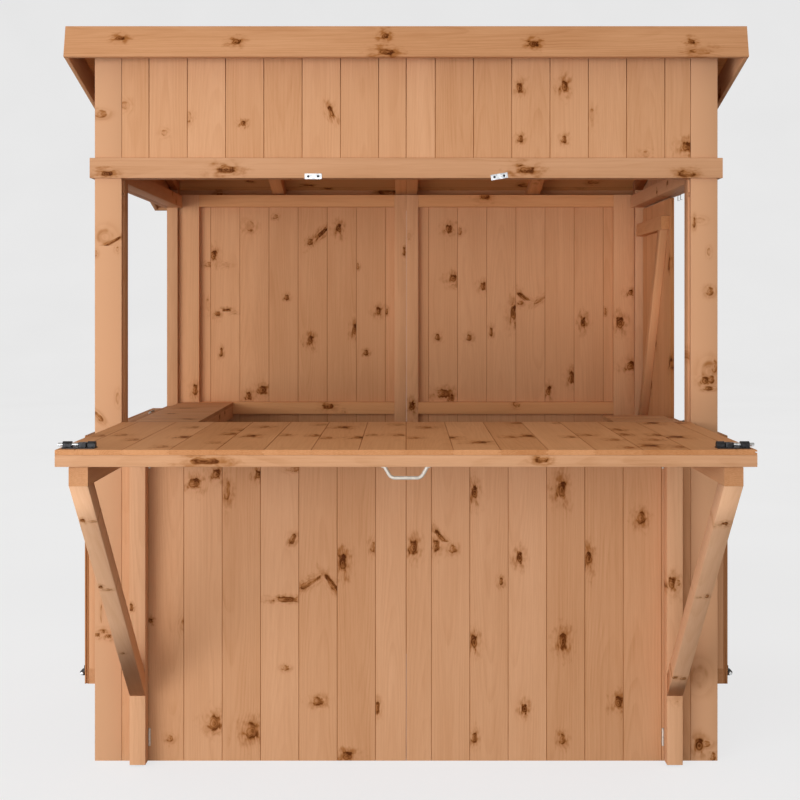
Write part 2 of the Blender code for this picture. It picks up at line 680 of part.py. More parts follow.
def build_side_flap_hinges(zinc):
    """Build the moving leaf and barrel of each hatch hinge, between hatch and wall."""
    front = POST_DEPTH + CLEAR
    ends = {"left": REAR_POST_FRONT - CLEAR, "right": RIGHT_FLAP_END}
    face = HALF_WIDTH + 2.0 * HINGE_OFFSET - GAP
    for label, side in SIDES.items():
        inset = SIDE_HINGE_SHARE * (ends[label] - front)
        starts = {
            "front": front + inset,
            "rear": ends[label] - inset - SIDE_HINGE_LENGTH,
        }
        for place, start in starts.items():
            end = start + SIDE_HINGE_LENGTH
            barrel = cylinder("barrel", side_flap_axis(side, start), side_flap_axis(side, end),
                              WIDE_BARREL_RADIUS, HINGE_SIDES)
            leaf = side_block("leaf", side, (face - HINGE_LEAF, face), (start, end),
                              (SIDE_FLAP_HINGE_Z - HINGE_LEAF_WIDTH, SIDE_FLAP_HINGE_Z))
            unite(barrel, leaf)
            finish(barrel, "hatch_hinge_" + label + "_" + place, zinc, side_flap_axis(side, front))


# Counter flap

def build_counter_flap(wood):
    """Build the counter: boards on a frame of battens, hinged at the front wall."""
    xs = (-FLAP_HALF_WIDTH, FLAP_HALF_WIDTH)
    near = FLAP_HINGE_Y - FLAP_HINGE_TO_EDGE
    ys = (FLAP_FAR_Y, near)
    top = FLAP_BOTTOM + WALL
    boards = block("boards", xs, ys, (FLAP_BOTTOM + BATTEN, top))
    frame = (FLAP_BOTTOM, FLAP_BOTTOM + BATTEN + OVERLAP)
    half = BATTEN_WIDE / 2.0
    pieces = [
        block("rail", xs, (FLAP_FAR_Y, FLAP_FAR_Y + BATTEN_WIDE), frame),
        block("rail", xs, (near - BATTEN_WIDE, near), frame),
        block("stile", (-FLAP_HALF_WIDTH, BATTEN_WIDE - FLAP_HALF_WIDTH), ys, frame),
        block("stile", (FLAP_HALF_WIDTH - BATTEN_WIDE, FLAP_HALF_WIDTH), ys, frame),
        block("stile", (-half, half), ys, frame),
    ]
    unite(boards, *pieces)
    finish(boards, "counter_flap", wood, (0.0, FLAP_HINGE_Y, FLAP_HINGE_Z))


def build_counter_hinges(zinc):
    """Build the moving leaf and barrel of each counter hinge, on the counter's rear edge."""
    edge = FLAP_HINGE_Y - FLAP_HINGE_TO_EDGE + GAP
    axis = (0.0, FLAP_HINGE_Y, FLAP_HINGE_Z)
    for label, side in SIDES.items():
        xs = (COUNTER_HINGE_X - COUNTER_HINGE_LENGTH / 2.0, COUNTER_HINGE_X + COUNTER_HINGE_LENGTH / 2.0)
        barrel = cylinder("barrel", (side * xs[0], FLAP_HINGE_Y, FLAP_HINGE_Z),
                          (side * xs[1], FLAP_HINGE_Y, FLAP_HINGE_Z), COUNTER_BARREL_RADIUS, HINGE_SIDES)
        leaf = side_block("leaf", side, xs, (edge, edge + COUNTER_LEAF),
                          (FLAP_HINGE_Z, FLAP_HINGE_Z + COUNTER_LEAF_WIDTH))
        unite(barrel, leaf)
        finish(barrel, "counter_hinge_" + label, zinc, axis)


def handle_path():
    """Return the centre line of the bow, a flat U with two round bends."""
    bottom = FLAP_BOTTOM - HANDLE_DROP + HANDLE_ROD
    top = FLAP_BOTTOM - HANDLE_FOOT_THICKNESS / 2.0
    steps = 6
    half = []
    for step in range(steps + 1):
        angle = 0.5 * math.pi * step / steps
        x = HANDLE_HALF_SPAN - HANDLE_BEND + HANDLE_BEND * math.sin(angle)
        z = bottom + HANDLE_BEND - HANDLE_BEND * math.cos(angle)
        half.append((x, HANDLE_Y, z))
    half.append((HANDLE_HALF_SPAN, HANDLE_Y, top))
    mirrored = [(-x, y, z) for x, y, z in reversed(half)]
    return mirrored + half


def build_counter_handle(zinc):
    """Build the bow handle under the counter's front batten."""
    bow = rod_along("bow", handle_path(), HANDLE_ROD, ROD_SIDES)
    feet = []
    zs = (FLAP_BOTTOM - GAP - HANDLE_FOOT_THICKNESS, FLAP_BOTTOM - GAP)
    near = HANDLE_Y - HANDLE_ROD - OVERLAP / 2.0
    half = HANDLE_FOOT_WIDTH / 2.0
    xs = (HANDLE_HALF_SPAN - half, HANDLE_HALF_SPAN + half)
    for side in SIDES.values():
        feet.append(side_block("foot", side, xs, (near, near + HANDLE_FOOT), zs))
    unite(bow, *feet)
    above = block("cutter", (-2.0 * HANDLE_HALF_SPAN, 2.0 * HANDLE_HALF_SPAN),
                  (HANDLE_Y - HANDLE_FOOT, HANDLE_Y + HANDLE_FOOT),
                  (FLAP_BOTTOM - GAP, FLAP_BOTTOM + HANDLE_DROP))
    cut(bow, above)
    finish(bow, "counter_handle", zinc, (0.0, FLAP_HINGE_Y, FLAP_HINGE_Z))


# Tower bolts

def bolt_guide(side, start, length, plate_top, axis_z):
    """Return an arched guide standing on the bolt plate."""
    radius = BOLT_RADIUS + BOLT_CLEARANCE + BOLT_GUIDE_WALL
    steps = 12
    outline = [(-radius, plate_top - BOLT_PLATE_THICKNESS / 2.0)]
    for step in range(steps + 1):
        angle = math.pi - math.pi * step / steps
        outline.append((radius * math.cos(angle), axis_z + radius * math.sin(angle)))
    outline.append((radius, plate_top - BOLT_PLATE_THICKNESS / 2.0))
    ring = [(side * start, BOLT_Y + y, z) for y, z in outline]
    return prism("guide", ring, (-side * length, 0.0, 0.0))


def build_bolts(black, zinc):
    """Build the tower bolts on the outer corners of the counter."""
    flap_top = FLAP_BOTTOM + WALL
    plate_top = flap_top + GAP + BOLT_PLATE_THICKNESS
    axis_z = flap_top + BOLT_AXIS_HEIGHT
    inner_end = BOLT_PLATE_OUTER - BOLT_PLATE_LENGTH
    ys = (BOLT_Y - BOLT_PLATE_WIDTH / 2.0, BOLT_Y + BOLT_PLATE_WIDTH / 2.0)
    origin = (0.0, FLAP_HINGE_Y, FLAP_HINGE_Z)
    for label, side in SIDES.items():
        plate = side_block("plate", side, (inner_end, BOLT_PLATE_OUTER), ys, (flap_top + GAP, plate_top))
        outer_guide = bolt_guide(side, BOLT_PLATE_OUTER, BOLT_GUIDE_LENGTHS[0], plate_top, axis_z)
        inner_guide = bolt_guide(side, inner_end + BOLT_GUIDE_LENGTHS[1], BOLT_GUIDE_LENGTHS[1],
                                 plate_top, axis_z)
        unite(plate, outer_guide, inner_guide)
        bore = cylinder("cutter", (side * (inner_end - OVERLAP), BOLT_Y, axis_z),
                        (side * (BOLT_PLATE_OUTER + OVERLAP), BOLT_Y, axis_z),
                        BOLT_RADIUS + BOLT_CLEARANCE)
        cut(plate, bore)
        finish(plate, "bolt_plate_" + label, black, origin)
        rod_inner = inner_end + BOLT_CLEARANCE
        rod = cylinder("rod", (side * rod_inner, BOLT_Y, axis_z), (side * BOLT_TIP_X, BOLT_Y, axis_z),
                       BOLT_RADIUS)
        room = (inner_end + BOLT_GUIDE_LENGTHS[1], BOLT_PLATE_OUTER - BOLT_GUIDE_LENGTHS[0])
        middle = (room[0] + room[1] - BOLT_TRAVEL) / 2.0
        collar = cylinder("collar", (side * (middle - BOLT_COLLAR_LENGTH / 2.0), BOLT_Y, axis_z),
                          (side * (middle + BOLT_COLLAR_LENGTH / 2.0), BOLT_Y, axis_z), BOLT_COLLAR_RADIUS)
        knob = cylinder("knob", (side * middle, BOLT_Y, axis_z),
                        (side * middle, BOLT_Y, axis_z + BOLT_KNOB_HEIGHT), BOLT_KNOB_RADIUS, 16)
        unite(rod, collar, knob)
        finish(rod, "bolt_" + label, zinc, (side * BOLT_TIP_X, BOLT_Y, axis_z))


# Swing brackets

def bracket_outline():
    """Return the side outline of the bracket and that of the triangle it frames."""
    post_front = BRACKET_BACK_Y - BATTEN_WIDE
    arm_under = BRACKET_TOP - BATTEN_WIDE
    run = post_front - BRACKET_FRONT_Y
    rise = arm_under - BRACKET_STRUT_FOOT
    length = math.hypot(run, rise)
    shift_z = BATTEN_WIDE * length / run
    outside = [
        (BRACKET_BACK_Y, BRACKET_BOTTOM), (BRACKET_BACK_Y, BRACKET_TOP),
        (BRACKET_FRONT_Y, BRACKET_TOP), (BRACKET_FRONT_Y, arm_under),
        (post_front, BRACKET_STRUT_FOOT), (post_front, BRACKET_BOTTOM),
    ]
    inner_foot = BRACKET_STRUT_FOOT + shift_z
    inner_front = post_front - (arm_under - inner_foot) * run / rise
    inside = [(post_front, arm_under), (inner_front, arm_under), (post_front, inner_foot)]
    return outside, inside


def build_brackets(wood):
    """Build the swing brackets, each a post, an arm and a strut fixed together."""
    outside, inside = bracket_outline()
    for label, side in SIDES.items():
        start = side * BRACKET_INNER_X
        ring = [(start, y, z) for y, z in outside]
        frame = prism("bracket", ring, (side * BATTEN_WIDE, 0.0, 0.0))
        ring = [(start - side * OVERLAP, y, z) for y, z in inside]
        hole = prism("cutter", ring, (side * (BATTEN_WIDE + 2.0 * OVERLAP), 0.0, 0.0))
        cut(frame, hole)
        axis = (side * BRACKET_HINGE_X, BRACKET_HINGE_Y, BRACKET_BOTTOM)
        finish(frame, "bracket_" + label, wood, axis)


def build_bracket_hinges(zinc):
    """Build the fixed leaf and the barrel of each bracket hinge."""
    for label, side in SIDES.items():
        for place, low in zip(("low", "high"), BRACKET_HINGE_HEIGHTS):
            high = low + BRACKET_HINGE_LENGTH
            barrel = cylinder("barrel", (side * BRACKET_HINGE_X, BRACKET_HINGE_Y, low),
                              (side * BRACKET_HINGE_X, BRACKET_HINGE_Y, high),
                              BRACKET_BARREL_RADIUS, HINGE_SIDES)
            leaf = side_block("leaf", side, (BRACKET_HINGE_X, BRACKET_HINGE_X + BRACKET_LEAF_WIDTH),
                              (-GAP - BRACKET_LEAF, -GAP), (low, high))
            unite(barrel, leaf)
            finish(barrel, "bracket_hinge_" + label + "_" + place, zinc)


# Small metal catches

def catch_plate(low):
    """Return the plate of a catch, its back just off the plane Y = 0 and its lower edge at low."""
    half = CATCH_WIDTH / 2.0
    return block("plate", (-half, half), (-GAP - CATCH_THICKNESS, -GAP), (low, low + CATCH_PLATE_HEIGHT))


def front_catch(name, zinc, x, tilt):
    """Build a front catch: a plate over the trim's lower edge, turned by tilt about its middle."""
    middle = CATCH_PLATE_HEIGHT / 2.0 - CATCH_FRONT_DROP
    plate = catch_plate(-CATCH_PLATE_HEIGHT / 2.0)
    place = Matrix.Translation(Vector((x, -BOARD, HEAD + middle)))
    plate.data.transform(place @ Matrix.Rotation(-tilt, 4, "Y"))
    finish(plate, name, zinc)


def side_catch(name, zinc, side):
    """Build a side catch: a plate on the trim's face with two hooked legs below it."""
    half = CATCH_WIDTH / 2.0
    plate = catch_plate(0.0)
    legs = []
    for end in SIDES.values():
        xs = (half - CATCH_LEG_WIDTH, half)
        legs.append(side_block("leg", end, xs, (-GAP - CATCH_THICKNESS, -GAP), (-CATCH_LEG_DROP, OVERLAP)))
        foot = (-GAP - CATCH_FOOT, -GAP)
        legs.append(side_block("foot", end, xs, foot, (-CATCH_LEG_DROP, CATCH_THICKNESS - CATCH_LEG_DROP)))
    unite(plate, *legs)
    place = Matrix.Translation(Vector((side * (HALF_WIDTH + BOARD), CATCH_SIDE_Y, HEAD)))
    plate.data.transform(place @ Matrix.Rotation(side * math.pi / 2.0, 4, "Z"))
    finish(plate, name, zinc)


def build_catches(zinc):
    """Build the catches on the lower edge of the header trims."""
    front_catch("catch_front_left", zinc, -CATCH_X, 0.0)
    front_catch("catch_front_right", zinc, CATCH_X, CATCH_TILT)
    side_catch("catch_side_right", zinc, SIDES["right"])


def centre_on_origin():
    """Move everything so that the origin is in the middle of the base of the whole box."""
    back_edge = roof_point(0.0, ROOF_LENGTH, FASCIA_HEIGHT).y
    shift = -(FLAP_FAR_Y + back_edge) / 2.0
    for thing in bpy.data.objects:
        thing.location.y += shift


def main():
    """Build every piece of the bar."""
    clear_scene()
    wood = make_material("wood", WOOD_COLOUR, 0.6, 0.0)
    zinc = make_material("zinc", ZINC_COLOUR, 0.35, 1.0)
    black = make_material("black_steel", BLACK_COLOUR, 0.45, 0.6)
    felt = make_material("felt", FELT_COLOUR, 0.95, 0.0)
    build_front_walls(wood)
    build_front_headers(wood)
    build_back_walls(wood)
    build_front_posts(wood)
    build_rear_posts(wood)
    build_side_walls(wood)
    build_gables(wood)
    build_header_trims(wood)
    build_shelves(wood)
    build_roof(wood, felt)
    build_door(wood)
    build_door_hinges(zinc)
    build_side_flaps(wood)
    build_side_flap_hinges(zinc)
    build_counter_flap(wood)
    build_counter_hinges(zinc)
    build_counter_handle(zinc)
    build_bolts(black, zinc)
    build_brackets(wood)
    build_bracket_hinges(zinc)
    build_catches(zinc)
    centre_on_origin()


main()
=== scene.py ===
"""Looks of an outdoor garden bar: matched boards, battens, pent roof, counter and ironmongery.

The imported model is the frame.  Every timber solid of it is replaced by the
separate boards and battens that the real bar is made of, each with its own
grain and knots, and the small ironmongery is added where it belongs.
"""
import logging
import math
import random
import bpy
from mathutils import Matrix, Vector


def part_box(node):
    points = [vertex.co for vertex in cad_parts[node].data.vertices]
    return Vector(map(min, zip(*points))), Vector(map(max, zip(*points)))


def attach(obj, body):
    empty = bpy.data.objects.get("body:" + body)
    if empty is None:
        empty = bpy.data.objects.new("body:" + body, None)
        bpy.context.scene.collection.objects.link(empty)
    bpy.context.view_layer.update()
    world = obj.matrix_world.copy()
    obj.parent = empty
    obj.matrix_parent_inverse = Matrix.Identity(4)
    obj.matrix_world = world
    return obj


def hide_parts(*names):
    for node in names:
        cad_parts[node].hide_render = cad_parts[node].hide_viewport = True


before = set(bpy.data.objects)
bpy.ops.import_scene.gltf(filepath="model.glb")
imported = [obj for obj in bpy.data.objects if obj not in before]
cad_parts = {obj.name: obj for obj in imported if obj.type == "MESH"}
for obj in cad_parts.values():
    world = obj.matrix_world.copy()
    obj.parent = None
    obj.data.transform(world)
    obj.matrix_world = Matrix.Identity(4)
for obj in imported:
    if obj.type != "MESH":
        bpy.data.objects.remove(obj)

import zlib
from dataclasses import dataclass, field
from enum import Enum
from typing import Callable, Optional, Sequence

import bmesh
import bpy
from mathutils import Matrix, Vector

log = logging.getLogger("garden_bar")

Thing = bpy.types.Object
Socket = bpy.types.NodeSocket
Material = bpy.types.Material
Point = tuple[float, float, float]
Span = tuple[float, float]
Colour = tuple[float, float, float, float]

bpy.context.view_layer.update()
WALL_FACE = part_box("front_wall_left")[0].y   # depth of the front wall's face
HALF_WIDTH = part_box("side_wall_right")[1].x  # middle to the outer face of a side wall
BOARD = 0.012         # thickness of a board
BATTEN = 0.028        # thickness of a batten
BATTEN_WIDE = 0.045   # width of a batten
WALL = BOARD + BATTEN
POST_WIDTH = 0.0775
POST_DEPTH = 0.0885
PITCH = 0.1105        # width that a board covers
SLIVER = 0.004        # narrowest strip that is still a board
GAP = 0.0003          # left between pieces that touch
ROOF_SLOPE = 0.252
TOUCH = 1e-6          # places nearer than this are one
QUARTER = math.radians(90.0)
SIDES = {"left": -1.0, "right": 1.0}


def srgb(red: int, green: int, blue: int) -> Colour:
    """Return a linear colour from the numbers of a screen colour."""
    def linear(value: int) -> float:
        share = value / 255.0
        return share / 12.92 if share <= 0.04045 else ((share + 0.055) / 1.055) ** 2.4
    return (linear(red), linear(green), linear(blue), 1.0)


# The photograph's camera

@dataclass(frozen=True)
class Plane:
    """A flat face, or a cut across a timber, which loses what lies on the side of the normal."""

    point: Vector
    normal: Vector


@dataclass(frozen=True)
class Eye:
    """The camera of the photograph, level and looking straight back.

    Attributes:
        place: where it stands, in metres.
        focus: focal length in pixels of the frame.
        across: pixel column of the line of sight.
        down: pixel row of the line of sight.
        frame_size: width and height of the photograph in pixels.
        sensor: width of the sensor in millimetres.
    """

    place: Point = (0.002, -4.0565, 1.317)
    focus: float = 1308.0
    across: float = 406.9
    down: float = 305.0
    frame_size: float = 800.0
    sensor: float = 36.0

    def onto(self, column: float, row: float, plane: Plane) -> tuple[Vector, float]:
        """Return the point of a plane that a pixel shows, and the metres that a pixel spans there.

        Args:
            column: pixels from the left of the photograph.
            row: pixels from its top.
            plane: the face that is seen.
        """
        ray = Vector(((column - self.across) / self.focus, 1.0, (self.down - row) / self.focus))
        place = Vector(self.place)
        depth = (plane.point - place).dot(plane.normal) / ray.dot(plane.normal)
        return place + ray * depth, depth / self.focus

    def make_camera(self) -> None:
        """Make the scene's camera."""
        data = bpy.data.cameras.new("camera")
        data.sensor_width = self.sensor
        data.lens = self.focus / self.frame_size * self.sensor
        data.shift_x = (self.frame_size / 2.0 - self.across) / self.frame_size
        data.shift_y = (self.down - self.frame_size / 2.0) / self.frame_size
        camera = bpy.data.objects.new("camera", data)
        camera.location = self.place
        camera.rotation_euler = (QUARTER, 0.0, 0.0)
        bpy.context.scene.collection.objects.link(camera)
        bpy.context.scene.camera = camera


EYE = Eye()


# Modelling helpers

class Part(Enum):
    """What a selection picks in edit mode."""

    FACES = "FACE"
    EDGES = "EDGE"


def deselect_all() -> None:
    """Leave no object selected."""
    for thing in bpy.context.selected_objects:
        thing.select_set(False)


def make_active(thing: Thing) -> None:
    """Select one object and make it the active one."""
    deselect_all()
    thing.select_set(True)
    bpy.context.view_layer.objects.active = thing


def enter_edit(thing: Thing) -> None:
    """Open one object in edit mode."""
    make_active(thing)
    bpy.ops.object.mode_set(mode="EDIT")


def leave_edit() -> None:
    """Go back to object mode."""
    bpy.ops.object.mode_set(mode="OBJECT")


def settle(thing: Thing) -> None:
    """Put an object's place, turn and scale into its mesh."""
    make_active(thing)
    bpy.ops.object.transform_apply(location=True, rotation=True, scale=True)


def smooth(thing: Thing, angle: float = 35.0) -> None:
    """Shade an object smooth, with its sharper edges kept."""
    make_active(thing)
    bpy.ops.object.shade_smooth_by_angle(angle=math.radians(angle))


def opened() -> Thing:
    """Settle the primitive that was just added, open it in edit mode and return it."""
    thing = bpy.context.active_object
    settle(thing)
    enter_edit(thing)
    return thing


def closed(thing: Thing, angle: float = 35.0) -> Thing:
    """Close an open object, shade it smooth up to an angle and return it."""
    leave_edit()
    smooth(thing, angle)
    return thing


def pick(thing: Thing, part: Part, test: Callable) -> None:
    """Select the faces or edges of the open mesh that pass a test, and nothing else.

    Args:
        thing: the object in edit mode.
        part: faces or edges.
        test: called with each bmesh face or edge.
    """
    bpy.ops.mesh.select_mode(type=part.value)
    bpy.ops.mesh.select_all(action="DESELECT")
    work = bmesh.from_edit_mesh(thing.data)
    work.normal_update()
    for item in (work.faces if part is Part.FACES else work.edges):
        if test(item):
            item.select_set(True)
    work.select_flush_mode()
    bmesh.update_edit_mesh(thing.data)


def pick_everything() -> None:
    """Select the whole of the open mesh."""
    bpy.ops.mesh.select_all(action="SELECT")


def edge_runs(edge: bmesh.types.BMEdge, axis: int) -> bool:
    """Tell whether an edge runs along one of the axes."""
    line = edge.verts[1].co - edge.verts[0].co
    return line.length > 1e-9 and abs(line[axis]) > 0.999 * line.length


def extrude(shift: Sequence[float]) -> None:
    """Extrude the selection of the open mesh."""
    bpy.ops.mesh.extrude_region_move(TRANSFORM_OT_translate={"value": tuple(shift)})


def bevel(offset: float, segments: int = 1) -> None:
    """Bevel the picked edges of the open mesh."""
    bpy.ops.mesh.bevel(offset=offset, segments=segments, affect="EDGES")


def slice_all(point: Sequence[float], normal: Sequence[float], trim: bool = False) -> None:
    """Cut the whole open mesh along a plane, and trim off what is beyond it if asked."""
    pick_everything()
    bpy.ops.mesh.bisect(plane_co=point, plane_no=normal, use_fill=trim, clear_outer=trim)


def face_outwards() -> None:
    """Turn the faces of the open mesh the right way out."""
    pick_everything()
    bpy.ops.mesh.normals_make_consistent(inside=False)


def taken_mesh(thing: Thing) -> bpy.types.Mesh:
    """Return the mesh of an object, which is removed."""
    mesh = thing.data
    bpy.data.objects.remove(thing)
    return mesh


class Slot(Enum):
    """The material slots of the record."""

    WOOD = "wood"
    ZINC = "zinc"
    BLACK = "black_steel"
    FELT = "felt"


def dress(thing: Thing, material: Material, body: str) -> None:
    """Give a finished piece its material and let it ride on a body.

    Args:
        thing: the piece.
        material: its finish.
        body: name of the body.
    """
    thing.data.materials.clear()
    thing.data.materials.append(material)
    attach(thing, body)
    log.info("%s: %d faces, on %s", thing.name, len(thing.data.polygons), body)


def join(name: str, things: Sequence[Thing]) -> Thing:
    """Join several objects into one of a given name."""
    deselect_all()
    for thing in things:
        thing.select_set(True)
    bpy.context.view_layer.objects.active = things[0]
    if len(things) > 1:
        bpy.ops.object.join()
    whole = bpy.context.view_layer.objects.active
    whole.name = name
    whole.data.name = name
    return whole


def copied(mesh: bpy.types.Mesh, name: str, place: Matrix) -> Thing:
    """Return a new object with its own copy of a mesh, set in place."""
    own = mesh.copy()
    own.transform(place)
    thing = bpy.data.objects.new(name, own)
    bpy.context.scene.collection.objects.link(thing)
    return thing


def from_middle(node: str) -> Span:
    """Return how far the inner and the outer face of a side piece are from the building's middle."""
    low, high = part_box(node)
    return tuple(sorted((abs(low.x), abs(high.x))))


# Timber

class Show(Enum):
    """The way the show face of a timber looks."""

    FRONT = (0.0, -1.0, 0.0)
    BACK = (0.0, 1.0, 0.0)
    LEFT = (-1.0, 0.0, 0.0)
    RIGHT = (1.0, 0.0, 0.0)
    TOP = (0.0, 0.0, 1.0)
    UNDER = (0.0, 0.0, -1.0)


def outward(side: float) -> Show:
    """Return the way the outer faces look on the left (-1) or the right (1)."""
    return Show.LEFT if side < 0.0 else Show.RIGHT


class Run(Enum):
    """The way the grain of a timber runs."""

    ACROSS = (1.0, 0.0, 0.0)
    BACK = (0.0, 1.0, 0.0)
    UP = (0.0, 0.0, 1.0)


class Profile(Enum):
    """The section of a timber."""

    MATCHED = "tongue, groove and chamfered face edges"
    SQUARE = "sawn, with its edges just eased"


@dataclass(frozen=True)
class Knot:
    """A knot in the show face of a timber.

    Attributes:
        place: a point on the face, in metres.
        reach: half its length, in metres.
        width: half its width.
        turn: degrees from the grain to its length, seen from outside.
        dark: 0 for a pale knot, 1 for a nearly black one.
    """

    place: Vector
    reach: float
    width: float
    turn: float = 0.0
    dark: float = 0.7


@dataclass
class Timber:
    """One length of timber, set in place by a matrix from its middle.

    Its own X runs along the grain, its Y across the face and its Z out of the
    show face.

    Attributes:
        name: used for its seed.
        size: length, width and thickness.
        place: matrix from the timber to the building.
        profile: its section.
        cuts: planes that trim it.
        knots: knots on its show face.
        tone: lighter above 0 and darker below; drawn if not given.
        deep: painted shade, a warmer and deeper colour for pieces that stand in shade; below 0 it is
            painted paler, as on lit pieces.
        wild_knots: whether it has knots by chance where none is given.
    """

    name: str
    size: Vector
    place: Matrix
    profile: Profile = Profile.SQUARE
    cuts: list[Plane] = field(default_factory=list)
    knots: list[Knot] = field(default_factory=list)
    tone: Optional[float] = None
    deep: float = 0.0
    wild_knots: bool = True

    CHAMFER = 0.0010
    EASE = 0.0013
    TONGUE = 0.005
    TONGUE_HALF = 0.0018
    KNOT_EVERY = 0.55              # metres of timber to one chance knot
    NO_KNOT = (50.0, 50.0, 0.0)    # a place far from any knot
    _blanks = {}

    def blank(self) -> bpy.types.Mesh:
        """Return the mesh of this size and section, modelled the first time it is asked for."""
        key = (round(self.size.x, 5), round(self.size.y, 5), round(self.size.z, 5), self.profile)
        if key not in Timber._blanks:
            matched = self.profile is Profile.MATCHED
            thing = self.matched_bar() if matched else self.square_bar()
            Timber._blanks[key] = taken_mesh(closed(thing))
        return Timber._blanks[key]

    def square_bar(self) -> Thing:
        """Return a straight bar with eased edges, still open."""
        bpy.ops.mesh.primitive_cube_add(size=1.0, scale=self.size)
        thing = opened()
        pick(thing, Part.EDGES, lambda e: edge_runs(e, 0))
        bevel(min(self.EASE, 0.2 * min(self.size.y, self.size.z)), 2)
        return thing

    def matched_bar(self) -> Thing:
        """Return a board, still open: its section with tongue and groove, extruded along the grain."""
        length, width, thickness = self.size
        edge, groove = width / 2.0, self.TONGUE - width / 2.0
        bpy.ops.mesh.primitive_plane_add(size=1.0, rotation=(0.0, QUARTER, 0.0),
                                         location=(-length / 2.0, 0.0, 0.0))
        bpy.context.active_object.scale = (thickness, width, 1.0)
        thing = opened()
        for height in (-self.TONGUE_HALF, self.TONGUE_HALF):
            slice_all((0.0, 0.0, height), Show.TOP.value)
        slice_all((0.0, groove, 0.0), Show.BACK.value)
        pick(thing, Part.FACES, lambda f: abs(f.calc_center_median().z) < self.TONGUE_HALF
             and f.calc_center_median().y < groove)
        bpy.ops.mesh.delete(type="FACE")
        pick(thing, Part.EDGES, lambda e: min(v.co.y for v in e.verts) > edge - TOUCH
             and max(abs(v.co.z) for v in e.verts) < self.TONGUE_HALF + TOUCH)
        extrude((0.0, self.TONGUE, 0.0))
        pick_everything()
        extrude((length, 0.0, 0.0))
        face_outwards()
        pick(thing, Part.EDGES, lambda e: edge_runs(e, 0) and abs(e.verts[0].co.y) > edge - TOUCH
             and abs(e.verts[0].co.z) > thickness / 2.0 - TOUCH)
        bevel(self.CHAMFER)
        return thing

    def local_knots(self, draw: random.Random) -> list[tuple[float, ...]]:
        """Return the knots in order as along, across, reach, width, turn and darkness."""
        inverse = self.place.inverted()
        found = []
        for knot in self.knots:
            spot = inverse @ knot.place
            found.append((spot.x, spot.y, knot.reach, knot.width, math.radians(knot.turn), knot.dark))
        if not found and self.wild_knots:
            length, width = self.size.x, self.size.y
            for _ in range(int(length / self.KNOT_EVERY + draw.random())):
                reach = draw.uniform(0.10, 0.22) * min(width, 0.09)
                found.append((draw.uniform(-0.46, 0.46) * length, draw.uniform(-0.42, 0.42) * width,
                              reach * draw.uniform(1.0, 1.7), reach, draw.uniform(-0.6, 0.6),
                              draw.uniform(0.45, 1.0)))
        return sorted(found)

    def build(self) -> Thing:
        """Make the timber in place, trimmed and with the attributes that its finish reads."""
        draw = random.Random(zlib.crc32(self.name.encode()))
        knots = self.local_knots(draw)
        thing = copied(self.blank(), self.name, Matrix.Identity(4))
        inverse = self.place.inverted()
        if self.cuts or len(knots) > 1:
            enter_edit(thing)
            for plane in self.cuts:
                normal = (inverse.to_3x3() @ plane.normal).normalized()
                slice_all(inverse @ plane.point, normal, trim=True)
            for before, after in zip(knots, knots[1:]):
                slice_all(((before[0] + after[0]) / 2.0, 0.0, 0.0), Run.ACROSS.value)
            leave_edit()
        self.mark(thing.data, knots, draw)
        thing.data.transform(self.place)
        return thing

    def mark(self, mesh: bpy.types.Mesh, knots: list, draw: random.Random) -> None:
        """Write the attributes that carry grain, knots, tone and painted shade to the finish.

        Args:
            mesh: the timber's mesh, still in its own axes.
            knots: what local_knots gave.
            draw: the timber's own random numbers.
        """
        start = draw.uniform(0.0, 40.0)
        heart = (draw.uniform(-0.45, 0.45) * self.size.y, -draw.uniform(0.025, 0.11))
        lean = draw.uniform(-0.030, 0.030)
        grain = mesh.attributes.new("grain", "FLOAT_VECTOR", "POINT")
        for spot, vertex in zip(grain.data, mesh.vertices):
            along, across, out = vertex.co
            spot.vector = (along + start, across - heart[0], out - heart[1] + lean * along)
        tone = self.tone if self.tone is not None else draw.uniform(-1.0, 1.0)
        # Each face also carries its piece's painted shade: the warmer colour given to a piece in shade.
        for name, kind in (("board", "FLOAT_VECTOR"), ("stain", "FLOAT")):
            mesh.attributes.new(name, kind, "FACE")
        board, stain = mesh.attributes["board"], mesh.attributes["stain"]
        for face in mesh.polygons:
            in_joint = self.profile is Profile.MATCHED and abs(face.normal.y) > 0.3
            board.data[face.index].vector = (tone, float(in_joint), float(abs(face.normal.x) > 0.5))
            stain.data[face.index].value = self.deep
        for rank, name in enumerate(("knot_near", "knot_next")):
            layer = mesh.attributes.new(name, "FLOAT_VECTOR", "CORNER")
            for face in mesh.polygons:
                order = sorted(knots, key=lambda knot: abs(knot[0] - face.center.x))
                for corner in face.loop_indices:
                    spot = mesh.vertices[mesh.loops[corner].vertex_index].co
                    layer.data[corner].vector = (self.from_knot(order[rank], spot) if rank < len(order)
                                                 else self.NO_KNOT)

    @staticmethod
    def from_knot(knot: tuple[float, ...], spot: Vector) -> Point:
        """Return a place in a knot's own measure, 1 at its rim, with its darkness."""
        along, across, reach, width, turn, dark = knot
        cos, sin = math.cos(turn), math.sin(turn)
        du, dv = spot.x - along, spot.y - across
        return (du * cos + dv * sin) / reach, (dv * cos - du * sin) / width, dark


def placing(run: Vector, show: Vector, middle: Vector) -> Matrix:
    """Return the matrix that sets a timber by its grain, its show face and its middle."""
    rows = Matrix((run, show.cross(run), show)).transposed()
    return Matrix.Translation(middle) @ rows.to_4x4()


